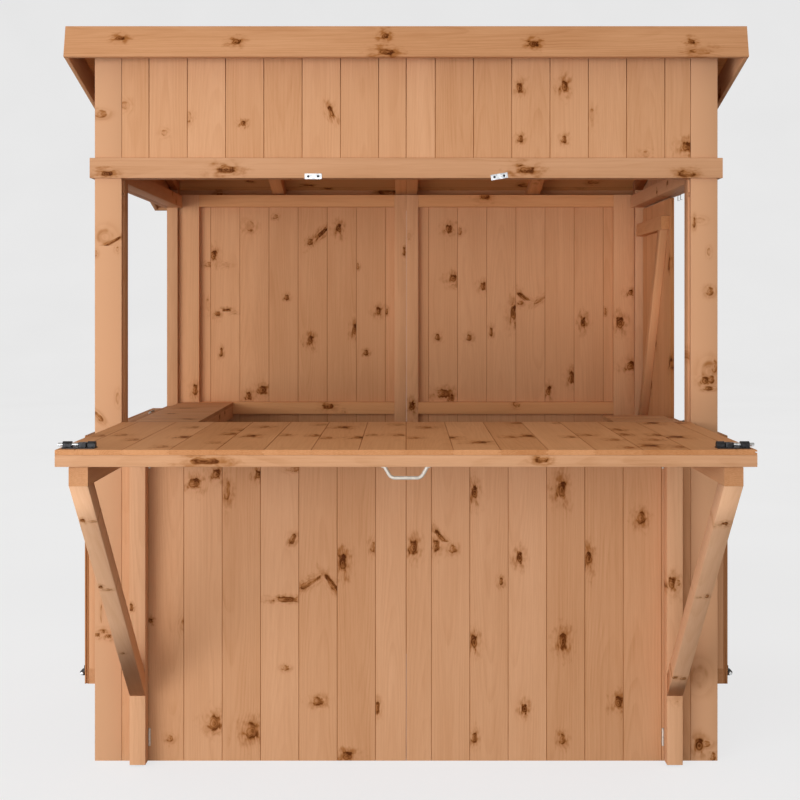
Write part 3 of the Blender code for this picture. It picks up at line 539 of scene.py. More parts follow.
def timber(name: str, low: Sequence[float], high: Sequence[float], run: Run, show: Show,
           **rest) -> Timber:
    """Return a timber that fills a box.

    Args:
        name: name of the timber.
        low: a corner.
        high: the opposite corner.
        run: the way its grain runs.
        show: the way its show face looks.
        rest: further fields of Timber.
    """
    ends = [sorted(pair) for pair in zip(low, high)]
    low, high = (Vector(corner) for corner in zip(*ends))
    along, out = Vector(run.value), Vector(show.value)
    spans = high - low
    size = Vector([abs(spans.dot(way)) for way in (along, out.cross(along), out)])
    return Timber(name, size, placing(along, out, (low + high) / 2.0), **rest)


def facing(y: float) -> Plane:
    """Return the plane across the building at a depth, seen from the front."""
    return Plane(Vector((0.0, y, 0.0)), Vector(Show.FRONT.value))


def knots_seen(rows: Sequence[tuple[float, ...]], plane: Plane) -> list[Knot]:
    """Return knots from where the photograph shows them on a face.

    Args:
        rows: column, row, half the length along the grain and half the width in pixels,
            darkness and, where the knot leans, its turn in degrees.
        plane: the face they lie on.
    """
    knots = []
    for column, row, reach, width, dark, *turn in rows:
        spot, scale = EYE.onto(column, row, plane)
        knots.append(Knot(spot, reach * scale, width * scale, turn[0] if turn else 0.0, dark))
    return knots


def spread_knots(timbers: Sequence[Timber], knots: Sequence[Knot]) -> None:
    """Give each knot to the timber whose face it lies on."""
    margin = Vector((0.0, 0.0006, 0.004))
    for knot in knots:
        for piece in timbers:
            spot = piece.place.inverted() @ knot.place
            if all(abs(spot[n]) <= piece.size[n] / 2.0 + margin[n] for n in range(3)):
                piece.knots.append(knot)
                break


@dataclass
class Bench:
    """Builds sets of timbers into pieces that ride on the frame.

    Attributes:
        wood: the finish of all timber.
        made: how many pieces have been made.
    """

    wood: Material
    made: int = 0

    def assemble(self, node: str, timbers: Sequence[Timber], body: str = "building") -> Thing:
        """Build timbers, join them and let them stand for a node of the frame.

        Args:
            node: the node that the piece stands for.
            timbers: the timbers of the piece.
            body: the body that it rides on.

        Returns:
            The joined piece.
        """
        whole = join(node + "_boards", [piece.build() for piece in timbers])
        dress(whole, self.wood, body)
        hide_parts(node)
        self.made += 1
        return whole


# Finishes

class Graph:
    """Adds nodes to a material or a world and links them.

    Attributes:
        owner: the material or world.
    """

    def __init__(self, owner: bpy.types.ID) -> None:
        """Start with an empty tree."""
        owner.use_nodes = True
        owner.node_tree.nodes.clear()
        self.owner = owner

    def node(self, kind: str, inputs: Optional[dict] = None, **settings) -> bpy.types.Node:
        """Add a node.

        Args:
            kind: Blender's name of the node, without the words that all begin with.
            inputs: values or sockets by input name or number.
            settings: properties of the node.

        Returns:
            The node.
        """
        made = self.owner.node_tree.nodes.new("ShaderNode" + kind)
        for name, value in settings.items():
            setattr(made, name, value)
        for name, value in (inputs or {}).items():
            if isinstance(value, Socket):
                self.owner.node_tree.links.new(value, made.inputs[name])
            else:
                made.inputs[name].default_value = value
        return made

    def math(self, operation: str, *values, clamp: bool = False) -> Socket:
        """Add a Math node and return its output."""
        return self.node("Math", dict(enumerate(values)), operation=operation, use_clamp=clamp).outputs[0]

    def mul(self, *values, clamp: bool = False) -> Socket:
        """Return the product of two values."""
        return self.math("MULTIPLY", *values, clamp=clamp)

    def mad(self, value, factor, more) -> Socket:
        """Return a value times a factor, plus more."""
        return self.math("MULTIPLY_ADD", value, factor, more)

    def most(self, *values) -> Socket:
        """Return the greater of two values."""
        return self.math("MAXIMUM", *values)

    def length(self, across, up) -> Socket:
        """Return the distance that two numbers span at right angles."""
        return self.math("SQRT", self.math("ADD", self.mul(across, across), self.mul(up, up)))

    def ramp(self, value: Socket, low: float, high: float,
             to_low: float = 0.0, to_high: float = 1.0) -> Socket:
        """Return a smooth step of a value between two limits."""
        limits = {"Value": value, "From Min": low, "From Max": high, "To Min": to_low, "To Max": to_high}
        return self.node("MapRange", limits, interpolation_type="SMOOTHSTEP", clamp=True).outputs[0]

    def noise(self, place: Socket, scale: tuple, detail: float = 2.0,
              roughness: float = 0.5) -> Socket:
        """Return fractal noise of a place that is first scaled along each axis."""
        scaled = self.node("VectorMath", {0: place, 1: scale}, operation="MULTIPLY").outputs[0]
        return self.node("TexNoise", {"Vector": scaled, "Scale": 1.0, "Detail": detail,
                                      "Roughness": roughness}).outputs["Fac"]

    def cells(self, place: Socket, scale: float) -> Socket:
        """Return a chance value for each cell of a place, with so many cells per metre."""
        colour = self.node("TexVoronoi", {"Vector": place, "Scale": scale}).outputs["Color"]
        return self.node("SeparateColor", {0: colour}).outputs[0]

    def place(self) -> Socket:
        """Return the place in the object's own axes."""
        return self.node("TexCoord").outputs["Object"]

    def split(self, name: str) -> tuple:
        """Return an attribute as a vector and its three numbers."""
        vector = self.node("Attribute", attribute_name=name).outputs["Vector"]
        return (vector, *self.node("SeparateXYZ", {0: vector}).outputs[:3])

    def colours(self, value: Socket, stops: Sequence[tuple[float, Colour]]) -> Socket:
        """Return a colour from a value through a row of stops."""
        made = self.node("ValToRGB", {0: value})
        elements = made.color_ramp.elements
        while len(elements) < len(stops):
            elements.new(0.5)
        for element, (place, colour) in zip(elements, stops):
            element.position = place
            element.color = colour
        return made.outputs[0]

    def bump(self, strength: float, distance: float, height: Socket) -> Socket:
        """Return the normal of a surface that is raised by a height."""
        inputs = {"Strength": strength, "Distance": distance, "Height": height}
        return self.node("Bump", inputs).outputs[0]

    def coated(self, colour: Socket, rough, normal: Socket,
               **more: float) -> Material:
        """Return the finished material with a plain surface.

        Args:
            colour: its colour.
            rough: its roughness.
            normal: its normal.
            more: further inputs, with _ for each space in their names.
        """
        inputs = {"Base Color": colour, "Roughness": rough, "Normal": normal}
        inputs.update({name.replace("_", " "): value for name, value in more.items()})
        return self.surface(self.node("BsdfPrincipled", inputs))

    def surface(self, shader: bpy.types.Node) -> Material:
        """Link a shader to the output and return the finished material."""
        self.node("OutputMaterial", {"Surface": shader.outputs[0]})
        return self.owner


@dataclass(frozen=True)
class StainedPine:
    """Knotty softwood stained warm brown, with painted shade that warms pieces in shade.

    Attributes:
        ring: width of a year's growth, in metres.
        rough: its roughness.
        stops: colours from the heart of a knot to the palest wood.
        warmth: tint of the painted shade, laid on pieces that stand in shade.
    """

    ring: float = 0.0042
    rough: float = 0.62
    stops: tuple = (
        (0.00, srgb(56, 20, 2)),
        (0.18, srgb(102, 50, 12)),
        (0.40, srgb(163, 104, 56)),
        (0.62, srgb(202, 148, 106)),
        (0.82, srgb(221, 169, 129)),
        (1.00, srgb(234, 187, 149)),
    )
    warmth: Colour = (1.08, 0.93, 0.70, 1.0)

    def knot(self, graph: Graph, name: str, wobble: Socket) -> tuple:
        """Add the nodes of one knot.

        Args:
            graph: the material's nodes.
            name: attribute that holds the place in the knot's own measure.
            wobble: noise that makes its outline uneven.

        Returns:
            The knot's darkness, the darkness of the wood round it, and the push on the rings.
        """
        vector, across, up, dark = graph.split(name)
        far = graph.length(across, up)
        radius = graph.math("ADD", far, wobble)
        side = graph.ramp(graph.noise(vector, (0.55, 0.75, 3.0), 1.0), 0.38, 0.60, 0.25, 1.0)
        edge = graph.mul(graph.ramp(radius, 0.48, 0.80), graph.ramp(radius, 1.22, 0.86))
        rings = graph.math("SINE", graph.mul(radius, 14.0))
        filled = graph.mul(graph.ramp(dark, 0.45, 0.90, 0.45, 0.95), graph.mad(rings, 0.22, 0.78))
        inside = graph.mul(graph.ramp(radius, 1.02, 0.62), filled)
        core = graph.mul(graph.most(graph.mul(edge, side), inside), dark)
        core = graph.mul(core, graph.ramp(side, 0.2, 1.0, 0.72, 1.0))
        halo = graph.mul(graph.ramp(graph.mad(wobble, 3.2, far), 3.1, 0.5),
                         graph.mul(dark, graph.ramp(side, 0.25, 1.0, 0.35, 1.3)))
        return core, halo, graph.ramp(far, 2.8, 0.0)

    def make(self, name: str = "stained_pine") -> Material:
        """Return the material."""
        graph = Graph(bpy.data.materials.new(name))
        grain, _, across, out = graph.split("grain")
        _, tone, joint, end = graph.split("board")
        wobble = graph.mad(graph.noise(grain, (55.0, 90.0, 90.0)), 1.1, -0.55)
        near, after = (self.knot(graph, knot, wobble) for knot in ("knot_near", "knot_next"))
        core, halo, push = (graph.most(*pair) for pair in zip(near, after))
        sway = graph.mul(graph.noise(grain, (2.2, 9.0, 9.0)), 0.018)
        radius = graph.mad(push, 0.008, graph.math("ADD", graph.length(across, out), sway))
        year = graph.math("FRACT", graph.math("DIVIDE", radius, self.ring))
        late = graph.mul(graph.ramp(year, 0.35, 0.86), graph.ramp(year, 1.0, 0.9))
        uneven = graph.noise(grain, (1.3, 45.0, 45.0))
        late = graph.mul(late, graph.ramp(uneven, 0.3, 0.75, 0.25, 1.0))
        fibre = graph.noise(grain, (14.0, 900.0, 900.0), 3.0, 0.6)
        cloud = graph.noise(grain, (2.4, 14.0, 14.0))
        streak = graph.noise(grain, (0.9, 170.0, 170.0))
        value = graph.mad(tone, 0.055, 0.70)
        for part, weight in ((cloud, 0.16), (fibre, 0.16), (streak, 0.12)):
            value = graph.mad(part, weight, graph.math("SUBTRACT", value, weight / 2.0))
        for part, weight in ((late, -0.055), (halo, -0.22), (end, -0.12), (joint, -0.20)):
            value = graph.mad(part, weight, value)
        value = graph.mul(value, graph.mad(core, -0.90, 1.0), clamp=True)
        # Painted shade: pieces in shade are tinted warmer by their painted shade, and lit ones paler.
        deep = graph.node("Attribute", attribute_name="stain").outputs["Fac"]
        tinted = graph.node("Mix", {0: deep, 6: graph.colours(value, self.stops), 7: self.warmth},
                            data_type="RGBA", blend_type="MULTIPLY", clamp_factor=False).outputs[2]
        return graph.coated(tinted, graph.mad(fibre, 0.12, self.rough - 0.06),
                            graph.bump(0.22, 0.0006, graph.mad(late, -0.5, fibre)),
                            Specular_IOR_Level=0.08)


@dataclass(frozen=True)
class Metal:
    """A metal finish.

    Attributes:
        name: name of the material.
        light: colour of its bright places.
        dull: colour of its dull places.
        metallic: share of metal.
        rough: roughness of its bright places.
        grain: cells per metre of its mottling.
    """

    name: str
    light: Colour
    dull: Colour
    metallic: float
    rough: float
    grain: float = 160.0

    def make(self) -> Material:
        """Return the material."""
        graph = Graph(bpy.data.materials.new(self.name))
        place = graph.place()
        wear = graph.noise(place, (90.0, 90.0, 90.0), 3.0)
        value = graph.math("ADD", graph.mul(graph.cells(place, self.grain), 0.5), graph.mul(wear, 0.5))
        colour = graph.colours(value, ((0.25, self.dull), (0.75, self.light)))
        return graph.coated(colour, graph.mad(wear, 0.25, self.rough - 0.1),
                            graph.bump(0.08, 0.0003, wear), Metallic=self.metallic)


@dataclass(frozen=True)
class MineralFelt:
    """Roofing felt with mineral grit."""

    name: str = "mineral_felt"
    light: Colour = srgb(98, 104, 102)
    dark: Colour = srgb(52, 58, 57)

    def make(self) -> Material:
        """Return the material."""
        graph = Graph(bpy.data.materials.new(self.name))
        place = graph.place()
        grit = graph.cells(place, 650.0)
        cloud = graph.noise(place, (6.0, 6.0, 6.0), 3.0)
        value = graph.math("ADD", graph.mul(grit, 0.6), graph.mul(cloud, 0.4))
        colour = graph.colours(value, ((0.1, self.dark), (0.9, self.light)))
        return graph.coated(colour, 0.95, graph.bump(0.5, 0.0008, grit))


# Knots that the photograph shows: column, row, half length, half width, darkness, turn

DADO_KNOTS = (
    (194.2, 484.1, 5, 8, 0.85), (216.5, 474.8, 5, 5.5, 0.85), (227, 490.6, 9, 3.5, 0.6),
    (258.4, 475.4, 4.5, 3.5, 0.9), (293.6, 468.9, 2.5, 6, 0.6), (292.7, 539, 5, 3, 0.75, -25),
    (372.7, 546.6, 5, 2.5, 0.6), (286, 599.5, 2.5, 13, 0.8), (309.5, 582.6, 11, 3.2, 0.65, -60),
    (332.2, 583.6, 10, 3, 0.8, 40), (342.7, 562.8, 8, 5, 0.95), (182.9, 626, 5, 3, 0.4),
    (150.3, 621.1, 2.5, 3, 0.9), (170, 738.4, 3, 3, 0.6), (285.7, 668, 2.5, 3.5, 0.65),
    (317.8, 701.2, 4, 5.5, 0.7), (214.2, 723.3, 7, 7, 0.7), (251.5, 730.9, 8, 7.5, 0.7),
    (377.7, 708.1, 6, 2.5, 0.8), (347, 756.6, 4.5, 7, 0.9), (413.7, 547.8, 7, 5, 0.8),
    (442, 538, 10, 2.8, 0.9, 45), (436, 546.2, 6, 4, 0.75), (452.5, 548.8, 4, 4, 0.65),
    (474.3, 493.7, 8, 4, 0.95), (473.9, 642.7, 7, 4, 0.95), (474.3, 738, 5, 3, 0.75),
    (500.8, 581.8, 3.5, 2.5, 0.7), (519.6, 557.6, 6, 4, 1.0), (524.5, 709, 5, 3.5, 1.0),
    (561.6, 490.6, 9, 5, 0.9), (562.7, 641.6, 8, 5, 0.8), (562.2, 739.2, 5, 3.5, 0.65),
    (588.6, 560, 8, 4, 0.9), (641.2, 518.2, 6, 4.5, 0.7), (618.8, 702.9, 6, 5, 0.85),
)
POST_KNOTS = (
    (102.9, 633.5, 4, 9, 0.45), (97.6, 634, 3, 3, 0.85), (103, 633, 3, 2.5, 0.7),
    (108.6, 635, 3.5, 3.5, 0.85), (101.3, 614, 9, 1.2, 0.35), (127, 491.6, 8, 2, 0.6),
    (111.7, 242.2, 10, 2, 0.8, -60), (105, 237, 8, 8, 0.25), (95.5, 253.2, 3, 2, 0.55),
    (117.5, 249.4, 2.5, 2, 0.4), (98.4, 416.6, 6, 2.5, 0.65, 45), (117.8, 398.5, 6, 2, 0.25),
    (694.1, 222.6, 5, 1.6, 0.7), (699, 220.5, 3, 6, 0.2), (709.9, 291.4, 4, 3.8, 0.65),
    (709, 252, 4, 2, 0.3), (709, 371.5, 10, 8, 0.35), (705.3, 381, 4, 5, 0.85),
    (711.5, 379.5, 4, 3, 0.7), (708.5, 388.5, 2, 5, 0.75), (714.5, 366.5, 6, 3, 0.6),
    (699.3, 745.7, 7, 5.5, 0.95), (705.5, 744, 3, 5, 0.6), (713, 756.6, 4, 3, 0.65),
    (699, 677, 12, 9, 0.2),
)
BRACKET_POST_KNOTS = (
    (130.9, 607.3, 3, 2.5, 0.75), (672, 584.6, 7, 5, 0.85), (677.5, 583, 3, 3, 0.6),
    (676.6, 698.3, 4, 4, 0.5),
)
STRUT_KNOTS = (
    (82.8, 520.7, 2.6, 3.5, 0.95), (91.5, 521.4, 1.6, 6, 0.6), (100.6, 587.5, 3, 3, 0.95),
    (107.5, 589.6, 1.8, 5, 0.65), (122.6, 653.4, 1.5, 2.5, 0.7), (714.2, 525.3, 2.6, 4, 0.5),
    (725, 523.7, 2.8, 4.2, 1.0), (707.2, 596.4, 2.5, 2, 0.75), (699.1, 597.4, 1.2, 3, 0.6),
    (674.5, 677.6, 2, 4, 0.8), (682.5, 678.6, 2.2, 4, 0.7), (674, 652.8, 6, 1, 0.5),
)
FASCIA_KNOTS = (
    (119.2, 38.2, 5, 3, 0.9), (235.6, 42, 5, 3.5, 0.9), (384.6, 36, 4, 4, 0.9),
    (385.2, 52.5, 8, 4, 0.9), (533.3, 44.1, 5, 3.8, 0.95), (691.3, 41.9, 3.5, 3, 0.9),
    (701.3, 51.3, 10, 3.5, 0.55),
)
HEADER_KNOTS = (
    (101, 114, 3.5, 6, 0.6), (331.8, 113, 6.5, 3, 0.85, 25), (243.1, 123.6, 2.5, 3.5, 0.85),
    (188.6, 117.2, 5, 3, 0.55), (125.6, 105.5, 4, 4, 0.3), (164, 133, 3, 3, 0.35),
    (519.4, 88, 5, 4, 0.8), (564.7, 87, 6, 4.5, 0.85), (520.5, 138.8, 3.5, 3, 0.75),
    (564, 139.4, 3.5, 3, 0.75), (686.4, 147.2, 5, 6, 0.85), (592, 115, 6, 3, 0.4),
    (645.5, 154, 3, 4, 0.4),
)
TRIM_KNOTS = (
    (105.3, 173.8, 7, 3, 0.95), (226, 169.6, 9, 4.5, 0.8), (525, 170, 9, 4.5, 0.85),
    (686.8, 174, 8, 3.5, 0.7),
)
BACK_KNOTS = (
    (249.8, 226.3, 4.5, 4.5, 0.55), (275.5, 216.8, 2, 2.5, 0.6), (310.1, 242, 3, 3, 0.7),
    (322, 233.2, 9, 2.6, 1.0, -45), (338.8, 229.2, 5, 3.5, 0.95), (213.6, 256.3, 5, 4, 0.85),
    (208.4, 264.3, 2, 4, 0.6), (226.4, 264.6, 2, 4, 0.5), (357.6, 266.2, 3, 1.5, 0.6),
    (286.9, 297.3, 2.5, 2.5, 0.75), (208, 304.9, 6, 3, 0.45), (217.6, 312.4, 3.5, 3, 0.75),
    (226.4, 310.8, 2, 5, 0.95), (234.3, 312.1, 1.6, 4, 0.5), (378.6, 311.8, 4, 3.5, 0.85),
    (386.6, 311.3, 3, 1.5, 0.7), (354.4, 330.4, 6, 2.5, 0.9), (310.4, 340.8, 5, 3.5, 0.9),
    (221.1, 352.3, 4, 2, 0.75), (366.2, 352.7, 2.5, 2.5, 0.75), (262.6, 390.2, 4, 6, 0.8),
    (248.7, 396.3, 4, 3.5, 0.8), (448.8, 229.2, 4, 4.5, 0.8), (459.5, 230.8, 3.5, 2.5, 0.6),
    (453.6, 278.6, 4, 5, 0.9), (452.8, 286.6, 2, 4, 0.45), (483.1, 286.6, 4, 3.5, 0.8),
    (513.4, 313.7, 9, 3.5, 0.95), (524.6, 298.5, 9, 3, 0.85, 50), (520.6, 301.7, 3, 3, 0.65),
    (540.5, 299.3, 8, 2, 0.6, -55), (437.7, 337.3, 3, 2.5, 0.75), (469.2, 337.6, 3, 3, 0.75),
    (491.1, 332, 4, 2, 0.75), (583.2, 322.5, 6, 3, 1.0), (605.1, 311.3, 3, 1.5, 0.6),
    (571.6, 377.5, 6, 3.5, 0.8), (548.5, 391.8, 5, 3, 0.9), (451.2, 398.2, 4, 3.5, 0.85),
    (443.3, 393.4, 4, 9, 0.75),
)
BACK_BATTEN_KNOTS = (
    (195.3, 390.2, 5, 3, 0.75), (311.7, 194.1, 6, 3, 0.7), (327.6, 406.2, 5, 4, 0.8),
    (343.5, 412, 2, 2, 0.4), (404.1, 251.5, 4, 1.5, 0.75), (620.2, 323.3, 6, 5, 0.95),
    (412.2, 407, 5, 4, 0.95), (409, 236.4, 3, 2, 0.5), (516.6, 404.6, 3, 3, 0.6),
    (483.9, 196.5, 5, 4, 0.85), (630.6, 293, 3, 3.5, 0.85), (631, 366.3, 4.5, 6, 0.85),
)
DOOR_KNOTS = (
    (661.6, 279.4, 3, 6, 0.85), (653.9, 332.6, 4, 10, 0.85), (646.3, 395.3, 5, 10, 1.0),
    (653.9, 252.2, 9, 6, 0.7), (673, 236, 5, 6, 0.7), (666.9, 347.9, 5, 5, 0.8),
    (664.4, 398.5, 5, 5, 0.5), (644.3, 323, 6, 3, 0.4),
)
TOP_KNOTS = (
    (192.8, 427.2, 8.5, 6, 0.6), (183.5, 437.2, 10, 7.5, 0.8), (162.5, 446.6, 8.5, 6, 0.6),
    (121.8, 434.9, 8.5, 6, 0.6), (133.5, 439.6, 8, 5.5, 0.6), (100.4, 435.6, 8, 5.5, 0.6),
    (231.2, 433.8, 8.5, 6, 0.65), (242.9, 429.6, 8.5, 6, 0.6), (263.8, 426.8, 8.5, 6, 0.6),
    (216.1, 442.6, 8, 5.5, 0.55), (251, 436.1, 10, 7.5, 0.85), (285.9, 434.9, 8.5, 6, 0.6),
    (320.8, 424.4, 8.5, 5.5, 0.55), (315, 435.4, 8.5, 6, 0.65), (343, 427.5, 10, 7.5, 0.85),
    (326.7, 437.7, 8.5, 6, 0.6), (359.2, 437.7, 10, 7.5, 0.85), (372, 434.9, 8.5, 6, 0.6),
    (398.8, 424.4, 8.5, 5.5, 0.55), (398.8, 434.9, 8.5, 6, 0.65), (425.6, 427.5, 8.5, 6, 0.65),
    (450, 437.9, 10, 7.5, 0.9), (414, 437.7, 8.5, 6, 0.6), (480.3, 442.6, 10, 10, 0.85),
    (509.4, 436.8, 8.5, 6, 0.6), (528, 436.1, 10, 7.5, 0.85), (516.4, 422.8, 8.5, 6, 0.6),
    (558.3, 422.8, 8.5, 6, 0.6), (569.9, 436.8, 8.5, 6, 0.65), (586.2, 434.9, 8.5, 6, 0.6),
    (616.5, 429.6, 8.5, 6, 0.65), (623.5, 434.5, 8.5, 6, 0.65), (614.1, 439.6, 8.5, 6, 0.6),
    (652.6, 423.3, 10, 7.5, 0.85), (677, 422.8, 8.5, 6, 0.6), (656, 434.9, 8.5, 6, 0.65),
    (677, 437.2, 10, 10, 0.85), (653.7, 439.6, 8.5, 6, 0.6), (628.1, 447.3, 8, 6, 0.6),
    (651.4, 445.9, 10, 10, 0.9), (679.3, 446.6, 8, 6, 0.6),
)
COUNTER_EDGE_KNOTS = ((205.6, 461, 14, 4.5, 0.8), (542, 459.8, 6, 3, 0.7))


# Sub-assemblies

def board_edges(start: float, end: float, seam: float, pitch: float) -> list[Span]:
    """Return the low and high edges of the boards that fill a span.

    Args:
        start: low end of the span.
        end: high end of the span.
        seam: a place where two boards meet.
        pitch: width that one board covers.
    """
    first = seam - math.floor((seam - start) / pitch + TOUCH) * pitch
    marks = [start]
    while first < end - SLIVER:
        if first > start + SLIVER:
            marks.append(first)
        first += pitch
    marks.append(end)
    return [(low + GAP / 2.0, high - GAP / 2.0) for low, high in zip(marks, marks[1:])]


def panel_sides(node: str, axis: int) -> list[Plane]:
    """Return the two planes that bound a node along an axis, to trim tongues that stand out."""
    normal = Vector([1.0 if number == axis else 0.0 for number in range(3)])
    low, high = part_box(node)
    return [Plane(low, -normal), Plane(high, normal)]


def down_slope() -> tuple[Vector, Vector]:
    """Return the way the roof falls, and the way square to it and up."""
    angle = math.atan(ROOF_SLOPE)
    cos, sin = math.cos(angle), math.sin(angle)
    return Vector((0.0, cos, -sin)), Vector((0.0, sin, cos))


def roof_plane(node: str) -> Plane:
    """Return the sloping plane that the top of a wall node follows, from its highest front corner."""
    low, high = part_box(node)
    return Plane(Vector((low.x, low.y, high.z)), down_slope()[1])


@dataclass
class Panel:
    """An upright panel of the frame, with a layer of boards and one of battens.

    Attributes:
        node: the node that it fills.
        axis: 0 where it runs from side to side, 1 from front to back.
        boards: where the layer of boards starts and ends.
        battens: where the layer of battens starts and ends.
        show: the way its boards look.
        inside: the way its battens look.
    """

    node: str
    axis: int
    boards: Span
    battens: Span
    show: Show = Show.FRONT
    inside: Show = Show.BACK

    def __post_init__(self) -> None:
        """Look up where the panel starts and ends."""
        self.low, self.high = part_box(self.node)
        self.start, self.end = self.low[self.axis], self.high[self.axis]

    def piece(self, name: str, edges: Span, layer: Span, levels: Span, run: Run, show: Show,
              **rest) -> Timber:
        """Return a timber of the panel.

        Args:
            name: what its name adds to the node's.
            edges: where it starts and ends along the panel.
            layer: where it starts and ends across the panel.
            levels: heights of its foot and top.
            run: the way its grain runs.
            show: the way its show face looks.
            rest: further fields of Timber.
        """
        corners = [(face, edge, level) if self.axis else (edge, face, level)
                   for edge, face, level in zip(edges, layer, levels)]
        return timber(f"{self.node}_{name}", *corners, run, show, **rest)

    def row(self, seam: Optional[float] = None, pitch: float = PITCH, cuts: Sequence[Plane] = (),
            **rest) -> list[Timber]:
        """Return the upright boards, side by side.

        Args:
            seam: a place where two boards meet, if not the start.
            pitch: width that one board covers.
            cuts: planes that trim them.
            rest: further fields of Timber.
        """
        seam = self.start if seam is None else seam
        return [self.piece(str(number), edges, self.boards, (self.low.z, self.high.z), Run.UP, self.show,
                           profile=Profile.MATCHED, cuts=[*cuts, *panel_sides(self.node, self.axis)],
                           **rest)
                for number, edges in enumerate(board_edges(self.start, self.end, seam, pitch))]

    def stiles(self, spans: Sequence[Span], levels: Span, **rest) -> list[Timber]:
        """Return upright battens from their edges and the heights of foot and top."""
        return [self.piece(f"stile_{number}", edges, self.battens, levels, Run.UP, self.inside, **rest)
                for number, edges in enumerate(spans)]

    def rails(self, edges: Span, tops: Sequence[float], word: str = "rail", **rest) -> list[Timber]:
        """Return level battens from where they start and end and the heights of their tops."""
        run = Run.BACK if self.axis else Run.ACROSS
        return [self.piece(f"{word}_{number}", edges, self.battens, (top - BATTEN_WIDE, top), run,
                           self.inside, **rest)
                for number, top in enumerate(tops)]

    def end_spans(self) -> tuple[Span, Span]:
        """Return the edges of a batten at each end."""
        return (self.start, self.start + BATTEN_WIDE), (self.end - BATTEN_WIDE, self.end)

    def surround(self, top: float) -> list[Timber]:
        """Return a stile at each end and two rails between them, up to a height."""
        ends = self.end_spans()
        return (self.stiles(ends, (self.low.z, top))
                + self.rails((ends[0][1], ends[1][0]), (self.low.z + BATTEN_WIDE, top)))


@dataclass
class FrontPanels:
    """Two boarded panels of the front: the wall under the counter or the header over the opening.

    Attributes:
        words: what the nodes' names begin with.
        knots: their chart of knots.
        pitch: width that a board covers.
        seams: a seam of each panel, from the middle.
        to_roof: whether they end at the roof.
    """

    bench: Bench
    words: str
    knots: tuple
    pitch: float
    seams: dict[str, float]
    to_roof: bool = False

    def build(self) -> None:
        """Build both panels."""
        for label in SIDES:
            node = self.words + label
            low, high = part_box(node)
            panel = Panel(node, 0, (low.y, low.y + BOARD), (low.y + BOARD + GAP, high.y))
            cuts = [roof_plane(node)] if self.to_roof else []
            pieces = panel.row(self.seams[label], self.pitch, cuts, wild_knots=False)
            spread_knots(pieces, knots_seen(self.knots, facing(low.y)))
            drop = WALL * ROOF_SLOPE if self.to_roof else 0.0
            self.bench.assemble(node, pieces + panel.surround(high.z - drop))


@dataclass
class BackWall:
    """The back wall, boards outside and battens inside, in two panels.

    Attributes:
        pitch: width that a board covers.
        seams: a seam of each panel, from the middle.
        end_stile: width of the stiles at the ends.
        rail_top: height of the middle rail's top.
    """

    bench: Bench
    pitch: float = 0.1106
    seams: dict = field(default_factory=lambda: {"left": -0.6324, "right": 0.637})
    end_stile: float = 0.077
    rail_top: float = 0.950

    def build(self) -> None:
        """Build both panels."""
        for label, side in SIDES.items():
            node = "back_wall_" + label
            low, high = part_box(node)
            face = high.y - BOARD
            outer = HALF_WIDTH - WALL - GAP
            panel = Panel(node, 0, (face, high.y), (low.y, face - GAP), inside=Show.FRONT)
            seam = self.seams[label]
            # Painted shade and light: the boards are coloured warmer (deep), as in shade, and lighter in
            # tone to make up for the shade inside the bar; the tone also varies from board to board.
            pieces = panel.row(seam, self.pitch, wild_knots=False, deep=0.35)
            for piece, (left, _) in zip(pieces, board_edges(low.x, high.x, seam, self.pitch)):
                piece.tone = 0.7 + 0.8 * math.sin(5.0 * left)
            spread_knots(pieces, knots_seen(BACK_KNOTS, facing(face)))
            stiles = ((side * GAP / 2.0, side * BATTEN_WIDE),
                      (side * (outer - self.end_stile), side * outer))
            # The battens get the same painted shade, and painted light as well: lighter in tone to make
            # up for the shade inside, the rails most of all.
            battens = panel.stiles(stiles, (low.z, high.z), wild_knots=False, tone=1.5, deep=0.35)
            battens += panel.rails((stiles[0][1], stiles[1][0]),
                                   (low.z + BATTEN_WIDE, self.rail_top, high.z),
                                   wild_knots=False, tone=2.2, deep=0.9)
            spread_knots(battens, knots_seen(BACK_BATTEN_KNOTS, facing(low.y)))
            self.bench.assemble(node, pieces + battens)


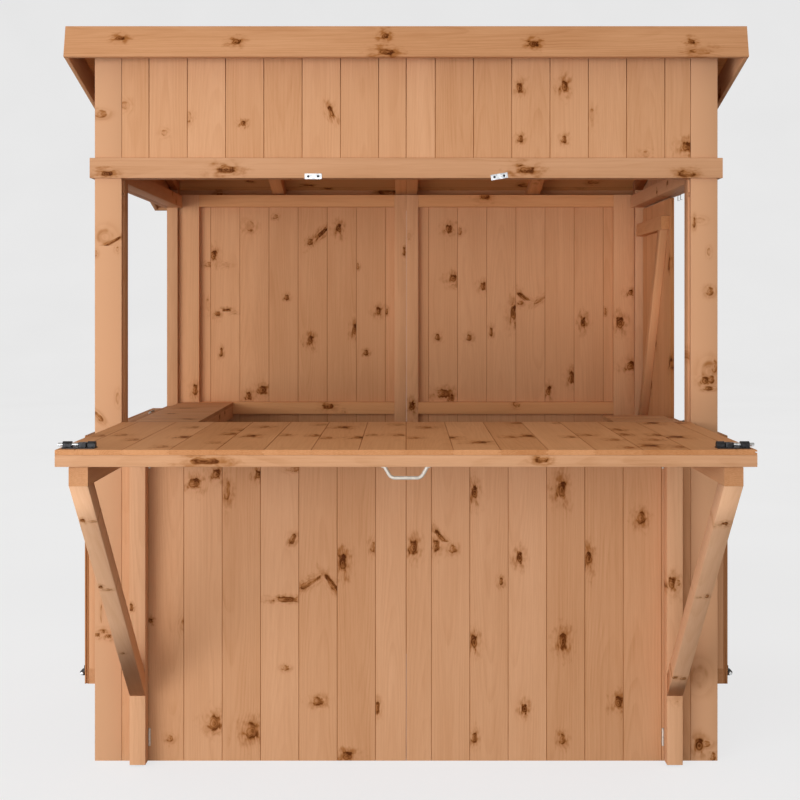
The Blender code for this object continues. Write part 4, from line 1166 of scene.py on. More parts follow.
@dataclass
class Posts:
    """The corner posts.

    Attributes:
        setback: how far the middle piece stands back from the opening.
        hole_back: front of a post to the middle of its bolt hole.
        hole_height: height of the holes.
        hole_radius: their radius.
        hole_depth: their depth.
    """

    bench: Bench
    setback: float = 0.005
    hole_back: float = 0.0392
    hole_height: float = 1.6397
    hole_radius: float = 0.0065
    hole_depth: float = 0.018

    def build(self) -> None:
        """Build the four posts."""
        for label, side in SIDES.items():
            self.build_front("front_post_" + label, side)
            node = "rear_post_" + label
            post = timber(node, *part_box(node), Run.UP, Show.FRONT, cuts=[roof_plane(node)],
                          wild_knots=False)
            self.bench.assemble(node, [post])

    def build_front(self, node: str, side: float) -> None:
        """Build a front post of four pieces and bore it."""
        low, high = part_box(node)
        inner = HALF_WIDTH - POST_WIDTH
        cheek = HALF_WIDTH - BOARD

        def piece(word: str, xs: Span, ys: Span, show: Show, **rest) -> Timber:
            return timber(f"{node}_{word}", (side * xs[0], ys[0], low.z), (side * xs[1], ys[1], high.z),
                          Run.UP, show, cuts=[roof_plane(node)], **rest)

        pieces = [
            # Painted light: the post's face is paler (deep below 0), as lit.
            piece("face", (inner, HALF_WIDTH), (low.y, low.y + BOARD), Show.FRONT, wild_knots=False,
                  deep=-0.2),
            piece("stile", (inner + self.setback, cheek - GAP), (low.y + BOARD + GAP, low.y + WALL),
                  Show.FRONT, wild_knots=False),
            piece("rear", (inner, cheek - GAP), (low.y + WALL + GAP, high.y), Show.BACK),
            piece("cheek", (cheek, HALF_WIDTH), (low.y + BOARD + GAP, high.y), outward(side)),
        ]
        spread_knots(pieces[:2], knots_seen(POST_KNOTS + HEADER_KNOTS, facing(low.y)))
        self.bore(self.bench.assemble(node, pieces),
                  Vector((side * inner, low.y + self.hole_back, self.hole_height)))

    def bore(self, post: Thing, mouth: Vector) -> None:
        """Bore the blind hole that takes the tip of a bolt when the counter is up.

        Args:
            post: the post, already joined.
            mouth: middle of the hole on the post's inner face.
        """
        deselect_all()
        bpy.ops.mesh.primitive_cylinder_add(vertices=32, radius=self.hole_radius, location=mouth,
                                            depth=self.hole_depth * 2.0, rotation=(0.0, QUARTER, 0.0))
        drill = bpy.context.active_object
        settle(drill)
        make_active(post)
        bpy.ops.object.modifier_add(type="BOOLEAN")
        cut = post.modifiers[-1]
        cut.operation = "DIFFERENCE"
        cut.object = drill
        bpy.ops.object.modifier_apply(modifier=cut.name)
        bpy.data.objects.remove(drill)


@dataclass
class SideWalls:
    """The side walls under the side openings, and the gables over them."""

    bench: Bench

    def build(self) -> None:
        """Build both walls and both gables."""
        for label, side in SIDES.items():
            panel = self.panel("side_wall_" + label, side)
            self.bench.assemble(panel.node, panel.row() + panel.surround(panel.high.z))
            self.build_gable(self.panel("gable_" + label, side), side)

    def panel(self, node: str, side: float) -> Panel:
        """Return the panel of a side node."""
        return Panel(node, 1, (side * (HALF_WIDTH - BOARD), side * HALF_WIDTH),
                     (side * (HALF_WIDTH - WALL), side * (HALF_WIDTH - BOARD - GAP)),
                     outward(side), outward(-side))

    def build_gable(self, panel: Panel, side: float) -> None:
        """Build the boards over an opening with the head beam and the sloping rail."""
        low, high = panel.low, panel.high
        layer = (side * (HALF_WIDTH - BOARD - BATTEN_WIDE), panel.battens[1])
        beam = panel.piece("beam", (low.y, high.y), layer, (low.z, low.z + BATTEN_WIDE), Run.BACK,
                           panel.inside)
        self.bench.assemble(panel.node, panel.row(cuts=[roof_plane(panel.node)])
                            + [beam, self.sloping_rail(panel, side)])

    def sloping_rail(self, panel: Panel, side: float) -> Timber:
        """Return the rail under the roof deck, cut off plumb at both ends."""
        along, up = down_slope()
        depth = panel.high.y - panel.low.y
        width = BATTEN_WIDE * up.z
        x = side * (HALF_WIDTH - (WALL + BOARD + GAP) / 2.0)
        top = Vector((x, (panel.low.y + panel.high.y) / 2.0, panel.high.z - depth / 2.0 * ROOF_SLOPE))
        return Timber(panel.node + "_rail", Vector((depth / up.z + 0.05, width, BATTEN - GAP)),
                      placing(along, Vector(panel.inside.value), top - up * (width / 2.0)),
                      cuts=panel_sides(panel.node, 1))


@dataclass
class Trims:
    """The flat strips round the building over the openings."""

    bench: Bench

    def build(self) -> None:
        """Build the three strips."""
        low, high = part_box("header_trim_front")
        # Painted light: the front trim is paler (deep below 0), as lit.
        front = timber("header_trim_front", low, high, Run.ACROSS, Show.FRONT, wild_knots=False,
                       deep=-0.3)
        spread_knots([front], knots_seen(TRIM_KNOTS, facing(low.y)))
        self.bench.assemble("header_trim_front", [front])
        for label, side in SIDES.items():
            node = "header_trim_" + label
            self.bench.assemble(node, [timber(node, *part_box(node), Run.BACK, outward(side))])


@dataclass
class Shelves:
    """The inner shelves: short boards on bearers, notched round the post.

    Attributes:
        wall_gap: gap between the boards and the battens of the wall.
    """

    bench: Bench
    wall_gap: float = 0.0055

    def build(self) -> None:
        """Build both shelves."""
        for label, side in SIDES.items():
            node = "shelf_" + label
            low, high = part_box(node)
            inner, outer = from_middle(node)
            wide = HALF_WIDTH - WALL - self.wall_gap
            narrow = HALF_WIDTH - POST_WIDTH - GAP
            notch = WALL_FACE + POST_DEPTH + GAP
            top, under = high.z - BOARD, high.z - BOARD - GAP

            def board(word: object, reach: float, front: float, back: float) -> Timber:
                return timber(f"{node}_{word}", (side * inner, front, top), (side * reach, back, high.z),
                              Run.ACROSS, Show.TOP)

            pieces = []
            for number, (front, back) in enumerate(board_edges(low.y, high.y, low.y, PITCH)):
                if front < notch < back:
                    pieces.append(board(f"{number}_wide", wide, notch, back))
                    back = notch - GAP
                pieces.append(board(number, narrow if front < notch else wide, front, back))
            for word, xs, front in (("bearer", (inner, inner + BATTEN), low.y),
                                    ("wall_bearer", (outer - BATTEN, wide), notch)):
                pieces.append(timber(f"{node}_{word}", (side * xs[0], front, low.z),
                                     (side * xs[1], high.y, under), Run.BACK, outward(-side)))
            self.bench.assemble(node, pieces)


class Shown(Enum):
    """The face of a roof timber that shows."""

    TOP = 1.0
    UNDER = -1.0
    OUTER = 0.0


@dataclass
class Roof:
    """Deck boards on rafters, fascias, barge boards and felt.

    Attributes:
        felt: finish of the roofing felt.
        fascia: thickness of the fascia.
        lap: length of the upper sheet of felt along the slope.
        sheet: its thickness.
    """

    bench: Bench
    felt: Material
    fascia: float = 0.012
    lap: float = 0.74
    sheet: float = 0.0008

    def __post_init__(self) -> None:
        """Work out the directions of the slope and its front lower corner."""
        self.along, self.up = down_slope()
        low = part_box("fascia_front")[0]
        self.corner = Vector((0.0, low.y, low.z + self.fascia * self.up.y))

    def spans(self, node: str) -> tuple[Span, Span, Span]:
        """Return what a node spans across, along the slope and square to it."""
        low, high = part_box(node)
        points = [vertex.co - self.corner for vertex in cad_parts[node].data.vertices]
        alongs, ups = ([point.dot(way) for point in points] for way in (self.along, self.up))
        return (low.x, high.x), (min(alongs), max(alongs)), (min(ups), max(ups))

    def stick(self, name: str, spans: tuple[Span, Span, Span], level: bool, shown: Shown,
              **rest) -> Timber:
        """Return a timber between values across, along the slope and square to it.

        Args:
            name: name of the timber.
            spans: the values, in that order.
            level: whether its grain runs from side to side.
            shown: the face that shows.
            rest: further fields of Timber.
        """
        middles = [sum(span) / 2.0 for span in spans]
        middle = self.corner + self.along * middles[1] + self.up * middles[2]
        middle.x = middles[0]
        across, along, thick = (high - low for low, high in spans)
        run, length, width = ((Vector(Run.ACROSS.value), across, along) if level
                              else (self.along, along, across))
        if shown is not Shown.OUTER:
            show, size = self.up * shown.value, (length, width, thick)
        else:
            outer = (self.along * (-1.0 if middles[1] < along * 2.0 else 1.0) if level
                     else Vector((math.copysign(1.0, middles[0]), 0.0, 0.0)))
            show, size = outer, (length, thick, width)
        return Timber(name, Vector(size), placing(run, show, middle), **rest)

    def build(self) -> None:
        """Build the roof."""
        self.build_deck()
        # Painted shade: the rafters under the roof are coloured warmer (deep), as in shade.
        for node in ("rafter_left", "rafter_right", "rafter_centre_left", "rafter_centre_right"):
            self.bench.assemble(node, [self.stick(node, self.spans(node), False, Shown.UNDER, deep=0.8)])
        for node in ("barge_left", "barge_right"):
            self.bench.assemble(node, [self.stick(node, self.spans(node), False, Shown.OUTER)])
        # Painted shade: the fascias are darker in tone, for the little light that they get from above.
        for node in ("fascia_front", "fascia_back"):
            board = self.stick(node, self.spans(node), True, Shown.OUTER, tone=-1.8,
                               wild_knots=node.endswith("back"))
            spread_knots([board], knots_seen(FASCIA_KNOTS, Plane(self.corner, -self.along)))
            self.bench.assemble(node, [board])
        self.build_upper_sheet()

    def build_upper_sheet(self) -> None:
        """Lay the upper sheet of felt, whose lower edge laps over the lower sheet."""
        across, along, square = self.spans("roof_felt")
        bpy.ops.mesh.primitive_cube_add(size=1.0, scale=(across[1] - across[0], self.lap, self.sheet))
        sheet = opened()
        pick(sheet, Part.EDGES, lambda e: edge_runs(e, 0) or edge_runs(e, 1))
        bevel(self.sheet * 0.3)
        leave_edit()
        middle = (self.corner + self.along * (along[0] + self.lap / 2.0)
                  + self.up * (square[1] + self.sheet / 2.0 + GAP))
        sheet.data.transform(placing(Vector(Run.ACROSS.value), self.up, middle))
        sheet.name = "roof_felt_upper_sheet"
        dress(sheet, self.felt, "building")

    def build_deck(self) -> None:
        """Build the deck boards, which run from side to side."""
        across, along, square = self.spans("roof_deck")
        ends = [Plane(self.corner + self.along * along[0], -self.along),
                Plane(self.corner + self.along * along[1], self.along)]
        # Painted shade: the deck boards are coloured warmer (deep), as in shade under the roof.
        self.bench.assemble("roof_deck", [
            self.stick(f"roof_deck_{number}", (across, edges, square), True, Shown.UNDER,
                       profile=Profile.MATCHED, cuts=ends, deep=1.3)
            for number, edges in enumerate(board_edges(*along, along[0], PITCH))])


@dataclass
class Door:
    """The ledged and braced door.

    Attributes:
        ledge_inset: edge of the door to the ends of its ledges.
        brace_inset: end of a ledge to a brace.
        ledge_tops: heights of the ledges' tops.
        over_length: what a brace has over before it is cut.
    """

    bench: Bench
    ledge_inset: float = 0.018
    brace_inset: float = 0.020
    ledge_tops: tuple = (1.618, 0.875, 0.190)
    over_length: float = 0.12

    def build(self) -> None:
        """Build the door."""
        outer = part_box("door")[1].x
        panel = Panel("door", 1, (outer - BOARD, outer), (outer - WALL, outer - BOARD - GAP),
                      Show.RIGHT, Show.LEFT)
        edges = (panel.start + self.ledge_inset, panel.end - self.ledge_inset)
        # Painted shade: the door's boards, ledges and braces are coloured warmer (deep), as in shade
        # inside.
        pieces = panel.row(deep=0.5)
        pieces += panel.rails(edges, self.ledge_tops, "ledge", wild_knots=False, deep=0.5)
        for number, (top, foot) in enumerate(zip(self.ledge_tops, self.ledge_tops[1:])):
            levels = (foot, top - BATTEN_WIDE)
            pieces.append(self.brace(f"door_brace_{number}", panel.battens, levels, edges))
        inside = Plane(Vector((panel.battens[0], 0.0, 0.0)), Vector(Show.LEFT.value))
        spread_knots(pieces[::-1], knots_seen(DOOR_KNOTS, inside))
        self.bench.assemble("door", pieces, "side_door")

    def brace(self, name: str, layer: Span, levels: Span, edges: Span) -> Timber:
        """Return a brace between two ledges, cut off level at both ends."""
        inset = self.brace_inset + BATTEN_WIDE / 2.0
        foot = Vector((0.0, edges[1] - inset, levels[0]))
        head = Vector((0.0, edges[0] + inset, levels[1]))
        line = head - foot
        middle = (foot + head) / 2.0
        middle.x = sum(layer) / 2.0
        size = (line.length + self.over_length, BATTEN_WIDE * line.z / line.length, layer[1] - layer[0])
        # The brace is coloured warmer (deep), a painted shade like the rest of the door.
        return Timber(name, Vector(size), placing(line.normalized(), Vector(Show.LEFT.value), middle),
                      cuts=[Plane(foot, Vector(Show.UNDER.value)), Plane(head, Vector(Show.TOP.value))],
                      wild_knots=False, tone=1.2, deep=0.5)


@dataclass
class Hatches:
    """The hatches that hang outside the side walls."""

    bench: Bench

    def build(self) -> None:
        """Build both hatches."""
        for label, side in SIDES.items():
            node = "side_flap_" + label
            inner, outer = from_middle(node)
            panel = Panel(node, 1, (side * (outer - BOARD), side * outer),
                          (side * inner, side * (inner + BATTEN - GAP)), outward(side), outward(-side))
            low, high = panel.low.z + BATTEN_WIDE, panel.high.z
            pieces = panel.row() + panel.rails((panel.start, panel.end), (high, low))
            pieces += panel.stiles(panel.end_spans(), (low, high - BATTEN_WIDE))
            self.bench.assemble(node, pieces, label + "_hatch")


@dataclass
class Counter:
    """The counter: boards on a frame of battens."""

    bench: Bench
    pitch: float = 0.1103

    def build(self) -> None:
        """Build the counter's boards and battens."""
        node = "counter_flap"
        low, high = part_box(node)
        # Painted shade: the counter's boards are coloured warmer (deep), as in shade.
        pieces = [timber(f"{node}_{number}", (left, low.y, high.z - BOARD), (right, high.y, high.z),
                         Run.BACK, Show.TOP, profile=Profile.MATCHED, wild_knots=False,
                         cuts=panel_sides(node, 0), deep=0.4)
                  for number, (left, right) in enumerate(board_edges(low.x, high.x, 0.0, self.pitch))]
        top = high.z - BOARD - GAP
        # Painted light: the rails under the counter are paler (deep below 0), as lit.
        for number, front in enumerate((low.y, high.y - BATTEN_WIDE)):
            pieces.append(timber(f"{node}_rail_{number}", (low.x, front, low.z),
                                 (high.x, front + BATTEN_WIDE, top), Run.ACROSS, Show.FRONT,
                                 wild_knots=False, tone=-1.0, deep=-0.3))
        half = BATTEN_WIDE / 2.0
        for number, middle in enumerate((low.x + half, 0.0, high.x - half)):
            pieces.append(timber(f"{node}_stile_{number}", (middle - half, low.y + BATTEN_WIDE, low.z),
                                 (middle + half, high.y - BATTEN_WIDE, top), Run.BACK, Show.UNDER))
        above = Plane(Vector((0.0, 0.0, high.z)), Vector(Show.TOP.value))
        spread_knots(pieces, knots_seen(TOP_KNOTS, above) + knots_seen(COUNTER_EDGE_KNOTS, facing(low.y)))
        self.bench.assemble(node, pieces, "counter")


@dataclass
class Brackets:
    """The swing brackets: post, arm and strut.

    Attributes:
        strut_foot: height of the strut's lower end.
        over_length: what a strut has over before it is cut.
    """

    bench: Bench
    strut_foot: float = 0.202
    over_length: float = 0.2

    def build(self) -> None:
        """Build both brackets."""
        for label in SIDES:
            node = "bracket_" + label
            low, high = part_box(node)
            front, under_arm = high.y - BATTEN_WIDE, high.z - BATTEN_WIDE
            post = timber(node + "_post", (low.x, front, low.z), high, Run.UP, Show.FRONT,
                          wild_knots=False, tone=1.8)
            arm = timber(node + "_arm", (low.x, low.y, under_arm), (high.x, front - GAP, high.z),
                         Run.BACK, Show.UNDER)
            foot = Vector((0.0, front, self.strut_foot))
            line = Vector((0.0, low.y, under_arm)) - foot
            along = line.normalized()
            under = Vector((0.0, along.z, -along.y))
            if under.z > 0.0:
                under = -under
            middle = foot + line / 2.0 - under * (BATTEN_WIDE / 2.0)
            middle.x = (low.x + high.x) / 2.0
            ends = [Plane(Vector((0.0, front - GAP, 0.0)), Vector(Show.BACK.value)),
                    Plane(Vector((0.0, 0.0, under_arm - GAP)), Vector(Show.TOP.value))]
            size = (line.length + self.over_length, BATTEN_WIDE, BATTEN_WIDE)
            # Painted light: the strut is much lighter in tone, to make up for its face looking down and
            # getting less light.
            strut = Timber(node + "_strut", Vector(size), placing(along, under, middle), cuts=ends,
                           wild_knots=False, tone=3.6)
            spread_knots([post], knots_seen(BRACKET_POST_KNOTS, facing(front)))
            spread_knots([strut], knots_seen(STRUT_KNOTS, Plane(foot, under)))
            self.bench.assemble(node, [post, arm, strut], label + "_bracket")


# Ironmongery

def along_span(low: float, high: float, inset: float) -> list[float]:
    """Return three places of a span: its middle, and two at a share of it from each end."""
    return [low + share * (high - low) for share in (inset, 0.5, 1.0 - inset)]


@dataclass
class Ironwork:
    """Screws, the second leaves of the hinges and the bolts of the side hatches.

    Attributes:
        zinc: finish of the bright fittings.
        satin: finish of the handle.
        dull: finish of the hinges.
        black: finish of the black ones.
        head: radius of a screw's head.
        proud: how far it stands up.
        leaf: thickness of a hinge leaf.
        leaf_width: width of the leaves on door and hatches.
        knuckle: radius of the barrels there.
        counter_leaf: width of the counter's hinge leaves.
        counter_knuckle: radius of the barrels there.
        bolt_rise: a hatch's lower edge to its bolt.
        bolt_inset: a hatch's front end to the plate of its bolt.
        bolt_axis: the wood under a bolt to the middle of its rod.
        bolt_radius: radius of the rod.
        pad_middle: the middle of the counter to the thumb pad of its bolt.
        rod: radius of the handle's rod.
        bend: radius of its bends.
        splay: angle of its legs.
        handle_reach: middle of the handle to the middle of a foot.
        catch_reach: middle of a catch to its screws.
        catch_tilt: turn of the right front catch.
    """

    zinc: Material
    satin: Material
    dull: Material
    black: Material
    head: float = 0.0036
    proud: float = 0.0012
    leaf: float = 0.0015
    leaf_width: float = 0.038
    knuckle: float = 0.0057
    counter_leaf: float = 0.028
    counter_knuckle: float = 0.0045
    bolt_rise: float = 0.030
    bolt_inset: float = 0.010
    bolt_axis: float = 0.0085
    bolt_radius: float = 0.0045
    pad_middle: float = 0.7605
    rod: float = 0.0042
    bend: float = 0.016
    splay: float = math.radians(60.0)
    handle_reach: float = 0.0508
    catch_reach: float = 0.014
    catch_tilt: float = math.radians(9.0)

    def build(self) -> None:
        """Build all the fittings that the frame leaves out."""
        self.screw_mesh = self.model_screw()
        for label, side in SIDES.items():
            for place in ("front", "rear"):
                self.build_hatch_hinge(label, side, place)
            self.build_counter_hinge(label)
            for place in ("low", "high"):
                self.build_bracket_leaf(label, side, place)
            self.build_bolts(label, side)
        for place in ("low", "high"):
            self.build_door_hinge(place)
        self.build_handle()
        self.build_catch_screws()

    def model_screw(self) -> bpy.types.Mesh:
        """Model a raised screw head with a socket, its seat on the plane Z = 0."""
        bpy.ops.mesh.primitive_cylinder_add(vertices=20, radius=self.head, depth=self.proud,
                                            location=(0.0, 0.0, self.proud / 2.0))
        thing = opened()
        pick(thing, Part.EDGES, lambda e: min(v.co.z for v in e.verts) > self.proud * 0.9)
        bevel(self.proud * 0.6, 3)
        pick(thing, Part.FACES, lambda f: f.normal.z > 0.9 and len(f.verts) > 8)
        bpy.ops.mesh.inset(thickness=self.head * 0.35)
        extrude((0.0, 0.0, -0.7 * self.proud))
        return taken_mesh(closed(thing))

    def screws(self, name: str, spots: Sequence[Point], way: Point,
               place: Matrix = Matrix.Identity(4)) -> list[Thing]:
        """Return screws on a face.

        Args:
            name: name they begin with.
            spots: points on the face.
            way: the way the face looks.
            place: a further matrix that moves them all.
        """
        turn = Vector(way).to_track_quat("Z", "Y").to_matrix().to_4x4()
        return [copied(self.screw_mesh, f"{name}_{number}",
                       place @ Matrix.Translation(Vector(spot)) @ turn)
                for number, spot in enumerate(spots)]

    def leaf_plate(self, name: str, low: Point, high: Point) -> Thing:
        """Model a hinge leaf with round corners that fills a box."""
        spans = [sorted(pair) for pair in zip(low, high)]
        size = [far - near for near, far in spans]
        middle = [(near + far) / 2.0 for near, far in spans]
        bpy.ops.mesh.primitive_cube_add(size=1.0, location=middle, scale=size)
        thing = opened()
        thing.name = name
        thin = size.index(min(size))
        pick(thing, Part.EDGES, lambda e: edge_runs(e, thin))
        bevel(0.003, 4)
        return closed(thing)

    def fit(self, name: str, things: Sequence[Thing], body: str, finish: Material,
            node: Optional[str] = None) -> None:
        """Join fittings into one piece on a body.

        Args:
            name: name of the piece.
            things: what is joined.
            body: the body that it rides on.
            finish: its material.
            node: the node that it stands for, if any.
        """
        whole = join(name, things)
        dress(whole, finish, body)
        if node:
            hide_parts(node)

    def fit_hinge(self, name: str, word: str, corners: tuple[Point, Point], fixed: tuple, moving: tuple,
                  body: str) -> None:
        """Build the second leaf of a hinge and the screws of both leaves.

        Args:
            name: the hinge's node.
            word: what the second leaf's name adds.
            corners: opposite corners of that leaf.
            fixed: the places of its screws and the way they look.
            moving: the same of the moving leaf.
            body: the body that the moving leaf rides on.
        """
        plate = self.leaf_plate(name + word, *corners)
        self.fit(name + word, [plate] + self.screws(name, *fixed), "building", self.dull)
        self.fit(name + "_screws", self.screws(name, *moving), body, self.dull)

    def build_hatch_hinge(self, label: str, side: float, place: str) -> None:
        """Build the leaf on the wall and the screws of both leaves of a hatch hinge."""
        name = f"hatch_hinge_{label}_{place}"
        low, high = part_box(name)
        wall = side * (HALF_WIDTH + GAP)
        out, near = wall + side * self.leaf, side * (from_middle(name)[1] - self.leaf)
        level = low.z + 0.3 * self.leaf_width
        ys = along_span(low.y, high.y, 0.17)
        self.fit_hinge(name, "_wall_leaf", ((wall, low.y, low.z), (out, high.y, high.z - self.knuckle)),
                       ([(out, y, level) for y in ys], (side, 0.0, 0.0)),
                       ([(near, y, level) for y in ys], (-side, 0.0, 0.0)), label + "_hatch")

    def build_door_hinge(self, place: str) -> None:
        """Build the leaf on the rear post and the screws of both leaves of a door hinge."""
        name = "door_hinge_" + place
        low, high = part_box(name)
        axis, out, reach = high.y - self.knuckle, low.x + self.leaf, 0.7 * self.leaf_width
        zs = along_span(low.z, high.z, 0.15)
        self.fit_hinge(name, "_post_leaf", ((low.x, axis, low.z), (out, axis + self.leaf_width, high.z)),
                       ([(out, axis + reach, z) for z in zs], Show.RIGHT.value),
                       ([(out, axis - reach, z) for z in zs], Show.RIGHT.value), "side_door")

    def build_counter_hinge(self, label: str) -> None:
        """Build the leaf on the front wall and the screws of both leaves of a counter hinge."""
        name = "counter_hinge_" + label
        low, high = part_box(name)
        radius, width, moving_leaf = self.counter_knuckle, self.counter_leaf, 0.0025
        axis, face, reach = low.z + radius, high.y - self.leaf, 0.6 * width
        xs = along_span(low.x, high.x, 0.17)
        self.fit_hinge(name, "_wall_leaf",
                       ((low.x, face, axis - width), (high.x, high.y, axis - radius / 2.0)),
                       ([(x, face, axis - reach) for x in xs], Show.FRONT.value),
                       ([(x, low.y + moving_leaf, axis + reach) for x in xs], Show.BACK.value), "counter")

    def build_bracket_leaf(self, label: str, side: float, place: str) -> None:
        """Build the leaf on the back of a bracket's post."""
        hinge = f"bracket_hinge_{label}_{place}"
        low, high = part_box(hinge)
        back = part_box("bracket_" + label)[1].y + GAP
        inner, outer = from_middle(hinge)
        name = f"bracket_leaf_{label}_{place}"
        thick, narrower = 0.0012, 0.003
        plate = self.leaf_plate(name, (side * (inner + narrower), back, low.z),
                                (side * outer, back + thick, high.z))
        self.fit(name, [plate], label + "_bracket", self.satin)

    def build_handle(self) -> None:
        """Build the handle: a rod bent into a splayed bow, with two flat feet and their screws."""
        low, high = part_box("counter_handle")
        cos, sin, bend, reach = math.cos(self.splay), math.sin(self.splay), self.bend, self.handle_reach
        edge = 0.0045
        middle, bottom = low.y + edge, low.z + edge
        slant = (high.z - bottom - bend * (1.0 - cos)) / sin + self.rod
        leg = Vector((-cos, 0.0, sin)) * slant
        straight = reach - bend * sin - (slant - self.rod) * cos
        start = Vector((-straight - bend * sin, middle, bottom + bend * (1.0 - cos))) + leg
        bpy.ops.mesh.primitive_circle_add(vertices=16, radius=self.rod, location=start,
                                          rotation=(0.0, QUARTER + self.splay, 0.0))
        bow = opened()
        pick_everything()
        for shift, centre in ((-leg, -straight), (Vector((2.0 * straight, 0.0, 0.0)), straight)):
            extrude(shift)
            bpy.ops.mesh.spin(steps=8, angle=self.splay, center=(centre, middle, bottom + bend),
                              axis=Run.BACK.value)
        extrude((-leg.x, 0.0, leg.z))
        slice_all((0.0, 0.0, high.z), Show.TOP.value, trim=True)
        face_outwards()
        things = [closed(bow)]
        foot, half = 0.003, 0.007
        for side in SIDES.values():
            things.append(self.leaf_plate("foot", (side * (reach - half), low.y + 0.0008, high.z - foot),
                                          (side * (reach + half), high.y, high.z)))
        spots = [(side * reach, high.y - 0.008, high.z - foot) for side in SIDES.values()]
        things += self.screws("counter_handle", spots, Show.UNDER.value)
        self.fit("counter_handle_bow", things, "counter", self.satin, "counter_handle")

    def build_catch_screws(self) -> None:
        """Build the dark screws of the catches."""
        reaches = (-self.catch_reach, self.catch_reach)
        for label, tilt in (("left", 0.0), ("right", self.catch_tilt)):
            low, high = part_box("catch_front_" + label)
            middle = (low + high) / 2.0
            spots = [(middle.x + reach * math.cos(tilt), low.y, middle.z + reach * math.sin(tilt))
                     for reach in reaches]
            screws = self.screws("catch", spots, Show.FRONT.value)
            self.fit(f"catch_front_{label}_screws", screws, "building", self.black)
        low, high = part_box("catch_side_right")
        spots = [(low.x + self.leaf, (low.y + high.y) / 2.0 + reach, high.z - 0.008) for reach in reaches]
        screws = self.screws("catch", spots, Show.RIGHT.value)
        self.fit("catch_side_right_screws", screws, "building", self.black)

    def build_bolts(self, label: str, side: float) -> None:
        """Screw down the counter's bolt and set one like it near the lower front corner of the hatch."""
        name, counter_bolt, hatch = "bolt_plate_" + label, "bolt_" + label, label + "_hatch"
        low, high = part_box(name)
        middle = (low.y + high.y) / 2.0
        end_inset, side_inset, thick = 0.008, 0.0045, 0.002
        reach = (high.y - low.y) / 2.0 - side_inset
        spots = [(x, middle + way * reach, low.z + thick)
                 for x in (low.x + end_inset, high.x - end_inset) for way in (-1.0, 1.0)]
        self.fit(name + "_screws", self.screws(name, spots, Show.TOP.value), "counter", self.black)
        flap = "side_flap_" + label
        flap_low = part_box(flap)[0]
        corner = Vector((side * from_middle(name)[1], middle, low.z))
        seat = Vector((side * (from_middle(flap)[1] + GAP), flap_low.y + self.bolt_inset,
                       flap_low.z + self.bolt_rise))
        turn = Matrix(((0.0, 0.0, side), (-side, 0.0, 0.0), (0.0, -1.0, 0.0))).to_4x4()
        place = Matrix.Translation(seat) @ turn @ Matrix.Translation(-corner)
        plate = self.copy_of(name, f"hatch_bolt_plate_{label}", place)
        screws = self.screws(plate.name, spots, Show.TOP.value, place)
        self.fit(plate.name, [plate] + screws, hatch, self.black)
        line = (middle, low.z - GAP + self.bolt_axis)
        inner, tip = from_middle(counter_bolt)
        rod = self.bolt_bar(side, self.pad_middle, tip, line)
        pad = self.model_pad(side, inner, line)
        self.fit(f"hatch_bolt_{label}", [copied(rod.data, "rod", place)], hatch, self.zinc)
        self.fit(f"hatch_bolt_pad_{label}", [copied(pad.data, "pad", place)], hatch, self.black)
        self.fit(counter_bolt + "_rod", [rod], label + "_bolt", self.zinc, counter_bolt)
        self.fit(counter_bolt + "_pad", [pad], label + "_bolt", self.black, counter_bolt)

    def bolt_bar(self, side: float, near: float, far: float, line: Span) -> Thing:
        """Model a round bar with eased ends.

        Args:
            side: -1 on the left, 1 on the right.
            near: distance of its inner end from the middle of the counter.
            far: distance of its outer end.
            line: its depth and height.
        """
        bpy.ops.mesh.primitive_cylinder_add(vertices=24, radius=self.bolt_radius, depth=far - near,
                                            rotation=(0.0, QUARTER, 0.0),
                                            location=(side * (near + far) / 2.0, *line))
        bar = opened()
        pick(bar, Part.EDGES, lambda e: not edge_runs(e, 0))
        bevel(0.0009, 2)
        return closed(bar)

    def model_pad(self, side: float, inner: float, line: Span) -> Thing:
        """Model the thumb pad of a bolt and the black inner half of its rod."""
        bpy.ops.mesh.primitive_cube_add(size=1.0, scale=(0.020, 0.021, 0.0110),
                                        location=(side * self.pad_middle, line[0], line[1] - 0.0005))
        pad = opened()
        pick(pad, Part.EDGES, lambda e: edge_runs(e, 2))
        bevel(0.003, 3)
        pick(pad, Part.FACES, lambda f: f.normal.z > 0.9)
        bpy.ops.mesh.inset(thickness=0.002)
        extrude((0.0, 0.0, -0.0008))
        return join("pad", [closed(pad), self.bolt_bar(side, inner, self.pad_middle - 0.0002, line)])

    def copy_of(self, node: str, name: str, place: Matrix) -> Thing:
        """Return a merged copy of a node of the frame, set in another place."""
        thing = copied(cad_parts[node].data, name, place)
        enter_edit(thing)
        pick_everything()
        bpy.ops.mesh.remove_doubles(threshold=0.00001)
        return closed(thing)


# The room

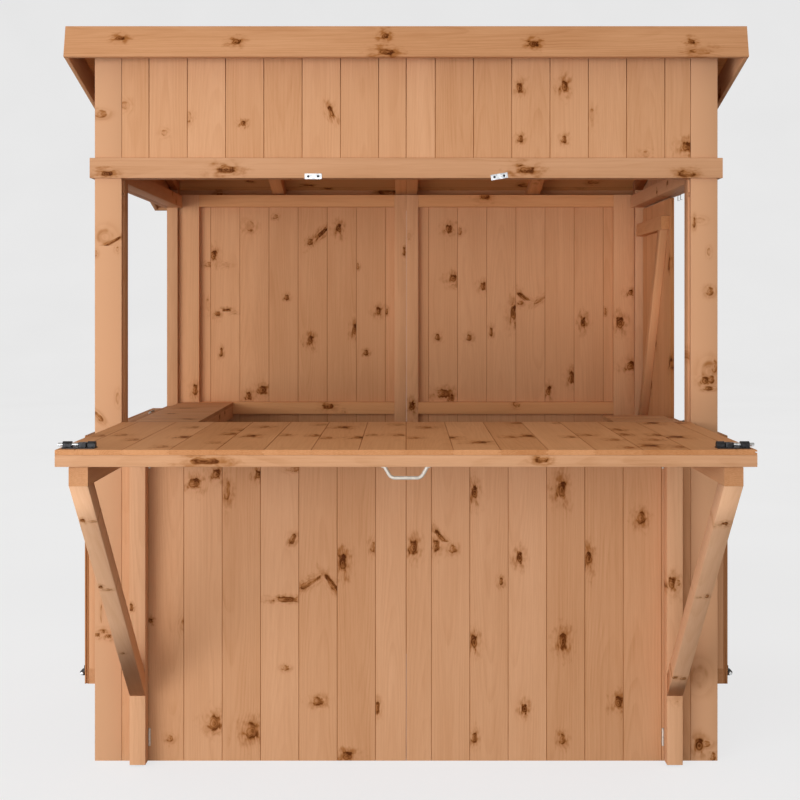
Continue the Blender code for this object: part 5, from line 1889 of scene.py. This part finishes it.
@dataclass
class Studio:
    """The pale floor, the backdrop and the soft lamps.

    Attributes:
        paper: colour of the floor and backdrop.
        glow: what the camera sees of the paper beyond the light on it.
        horizon: strength of the light from all round.
        zenith: strength of the light from above.
        warm: tint of the light from all round.
        cool: tint of the lamps, which evens it out.
        beyond: what the camera sees past the end of the paper.
        far_edge: Y beyond which the paper turns up.
    """

    paper: Colour = (0.2185, 0.22, 0.2230, 1.0)
    glow: float = 3.18
    horizon: float = 0.47
    zenith: float = 0.64
    warm: Colour = (1.0, 0.935, 0.83, 1.0)
    cool: Point = (1.0, 1.02, 1.06)
    beyond: Colour = srgb(232, 232, 232)
    far_edge: float = 20.0

    def build(self) -> None:
        """Set up floor, lamps, world and camera."""
        self.build_floor()
        self.build_world()
        self.lamp("key", (-3.9, -5.2, 0.6), (0.0, 0.0, 1.0), 3.8, 328.0)
        self.lamp("fill", (-0.4, -6.0, 0.3), (0.0, 0.0, 1.1), 3.0, 125.0)
        EYE.make_camera()
        bpy.context.scene.view_settings.view_transform = "Standard"

    def lamp(self, name: str, place: Point, target: Point, size: float, power: float) -> None:
        """Add one square soft lamp that faces a point."""
        data = bpy.data.lights.new(name, "AREA")
        data.shape = "SQUARE"
        data.size = size
        data.energy = power
        data.color = self.cool
        thing = bpy.data.objects.new(name, data)
        thing.location = place
        thing.rotation_euler = (Vector(target) - Vector(place)).to_track_quat("-Z", "Y").to_euler()
        bpy.context.scene.collection.objects.link(thing)

    def build_floor(self) -> None:
        """Build one sheet of floor that curves up far behind the bar."""
        bpy.ops.mesh.primitive_plane_add(size=2.0, location=(0.0, 6.0, 0.0))
        bpy.context.active_object.scale = (30.0, 18.0, 1.0)
        sheet = opened()
        pick(sheet, Part.EDGES, lambda e: min(v.co.y for v in e.verts) > self.far_edge)
        extrude((0.0, 0.0, 24.0))
        pick(sheet, Part.EDGES, lambda e: min(v.co.y for v in e.verts) > self.far_edge
             and max(abs(v.co.z) for v in e.verts) < 0.1)
        bevel(9.0, 16)
        closed(sheet, 60.0)
        sheet.name = "floor"
        graph = Graph(bpy.data.materials.new("paper"))
        mottle = graph.noise(graph.place(), (0.7, 0.7, 0.7))
        pale = tuple(min(1.0, value * 1.02) for value in self.paper[:3]) + (1.0,)
        colour = graph.colours(mottle, ((0.3, self.paper), (0.7, pale)))
        paper = graph.node("BsdfPrincipled", {"Base Color": colour, "Roughness": 0.9,
                                              "Specular IOR Level": 0.1})
        rays = graph.node("LightPath").outputs
        seen = graph.most(rays["Is Camera Ray"], rays["Is Glossy Ray"])
        glow = graph.node("Emission", {"Color": colour, "Strength": graph.mul(seen, self.glow)})
        both = graph.node("AddShader", {0: paper.outputs[0], 1: glow.outputs[0]})
        sheet.data.materials.append(graph.surface(both))

    def build_world(self) -> None:
        """Light the bar from all round, a little more from above."""
        world = bpy.data.worlds.new("room")
        bpy.context.scene.world = world
        graph = Graph(world)
        way = graph.node("SeparateXYZ", {0: graph.node("TexCoord").outputs["Generated"]})
        strength = graph.node("MapRange", {"Value": way.outputs[2], "To Min": self.horizon,
                                           "To Max": self.zenith})
        soft = graph.node("Background", {"Color": self.warm, "Strength": strength.outputs[0]})
        beyond = graph.node("Background", {"Color": self.beyond})
        seen = graph.node("LightPath").outputs["Is Camera Ray"]
        mixed = graph.node("MixShader", {0: seen, 1: soft.outputs[0], 2: beyond.outputs[0]})
        graph.node("OutputWorld", {"Surface": mixed.outputs[0]})


def dress_frame(finishes: dict[str, Material]) -> None:
    """Give the shown nodes of the frame their finish.

    Args:
        finishes: material by the words that begin a node's name.
    """
    for name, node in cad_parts.items():
        for start, material in finishes.items():
            if name.startswith(start):
                node.data.materials.clear()
                node.data.materials.append(material)
                make_active(node)


def main() -> None:
    """Build the bar's pieces in order, then the room."""
    logging.basicConfig(level=logging.INFO, format="%(name)s: %(message)s")
    deselect_all()
    bench = Bench(StainedPine().make())
    felt = MineralFelt().make()
    zinc = Metal("bright_zinc", srgb(226, 228, 230), srgb(176, 180, 184), 0.9, 0.32).make()
    satin = Metal("satin_zinc", srgb(216, 208, 196), srgb(196, 188, 177), 0.25, 0.5).make()
    dull = Metal("dull_zinc", srgb(158, 150, 140), srgb(122, 116, 108), 0.5, 0.55).make()
    black = Metal("black_steel", srgb(46, 47, 50), srgb(20, 20, 22), 0.4, 0.45).make()
    for part in (FrontPanels(bench, "front_wall_", DADO_KNOTS, 0.1108,
                             {"left": -0.6427, "right": 0.6271}),
                 FrontPanels(bench, "front_header_", HEADER_KNOTS, 0.1106,
                             {"left": -0.6326, "right": 0.6369}, to_roof=True),
                 BackWall(bench), Posts(bench), SideWalls(bench), Trims(bench), Shelves(bench),
                 Roof(bench, felt), Door(bench), Hatches(bench), Counter(bench), Brackets(bench)):
        part.build()
    dress_frame({"bolt_plate": black, "counter_hinge": dull, "hatch_hinge": dull, "door_hinge": dull,
                 "bracket_hinge": satin, "catch": zinc, "roof_felt": felt})
    Ironwork(zinc, satin, dull, black).build()
    Studio().build()
    log.info("%d timber pieces", bench.made)


if __name__ == "__main__":
    main()
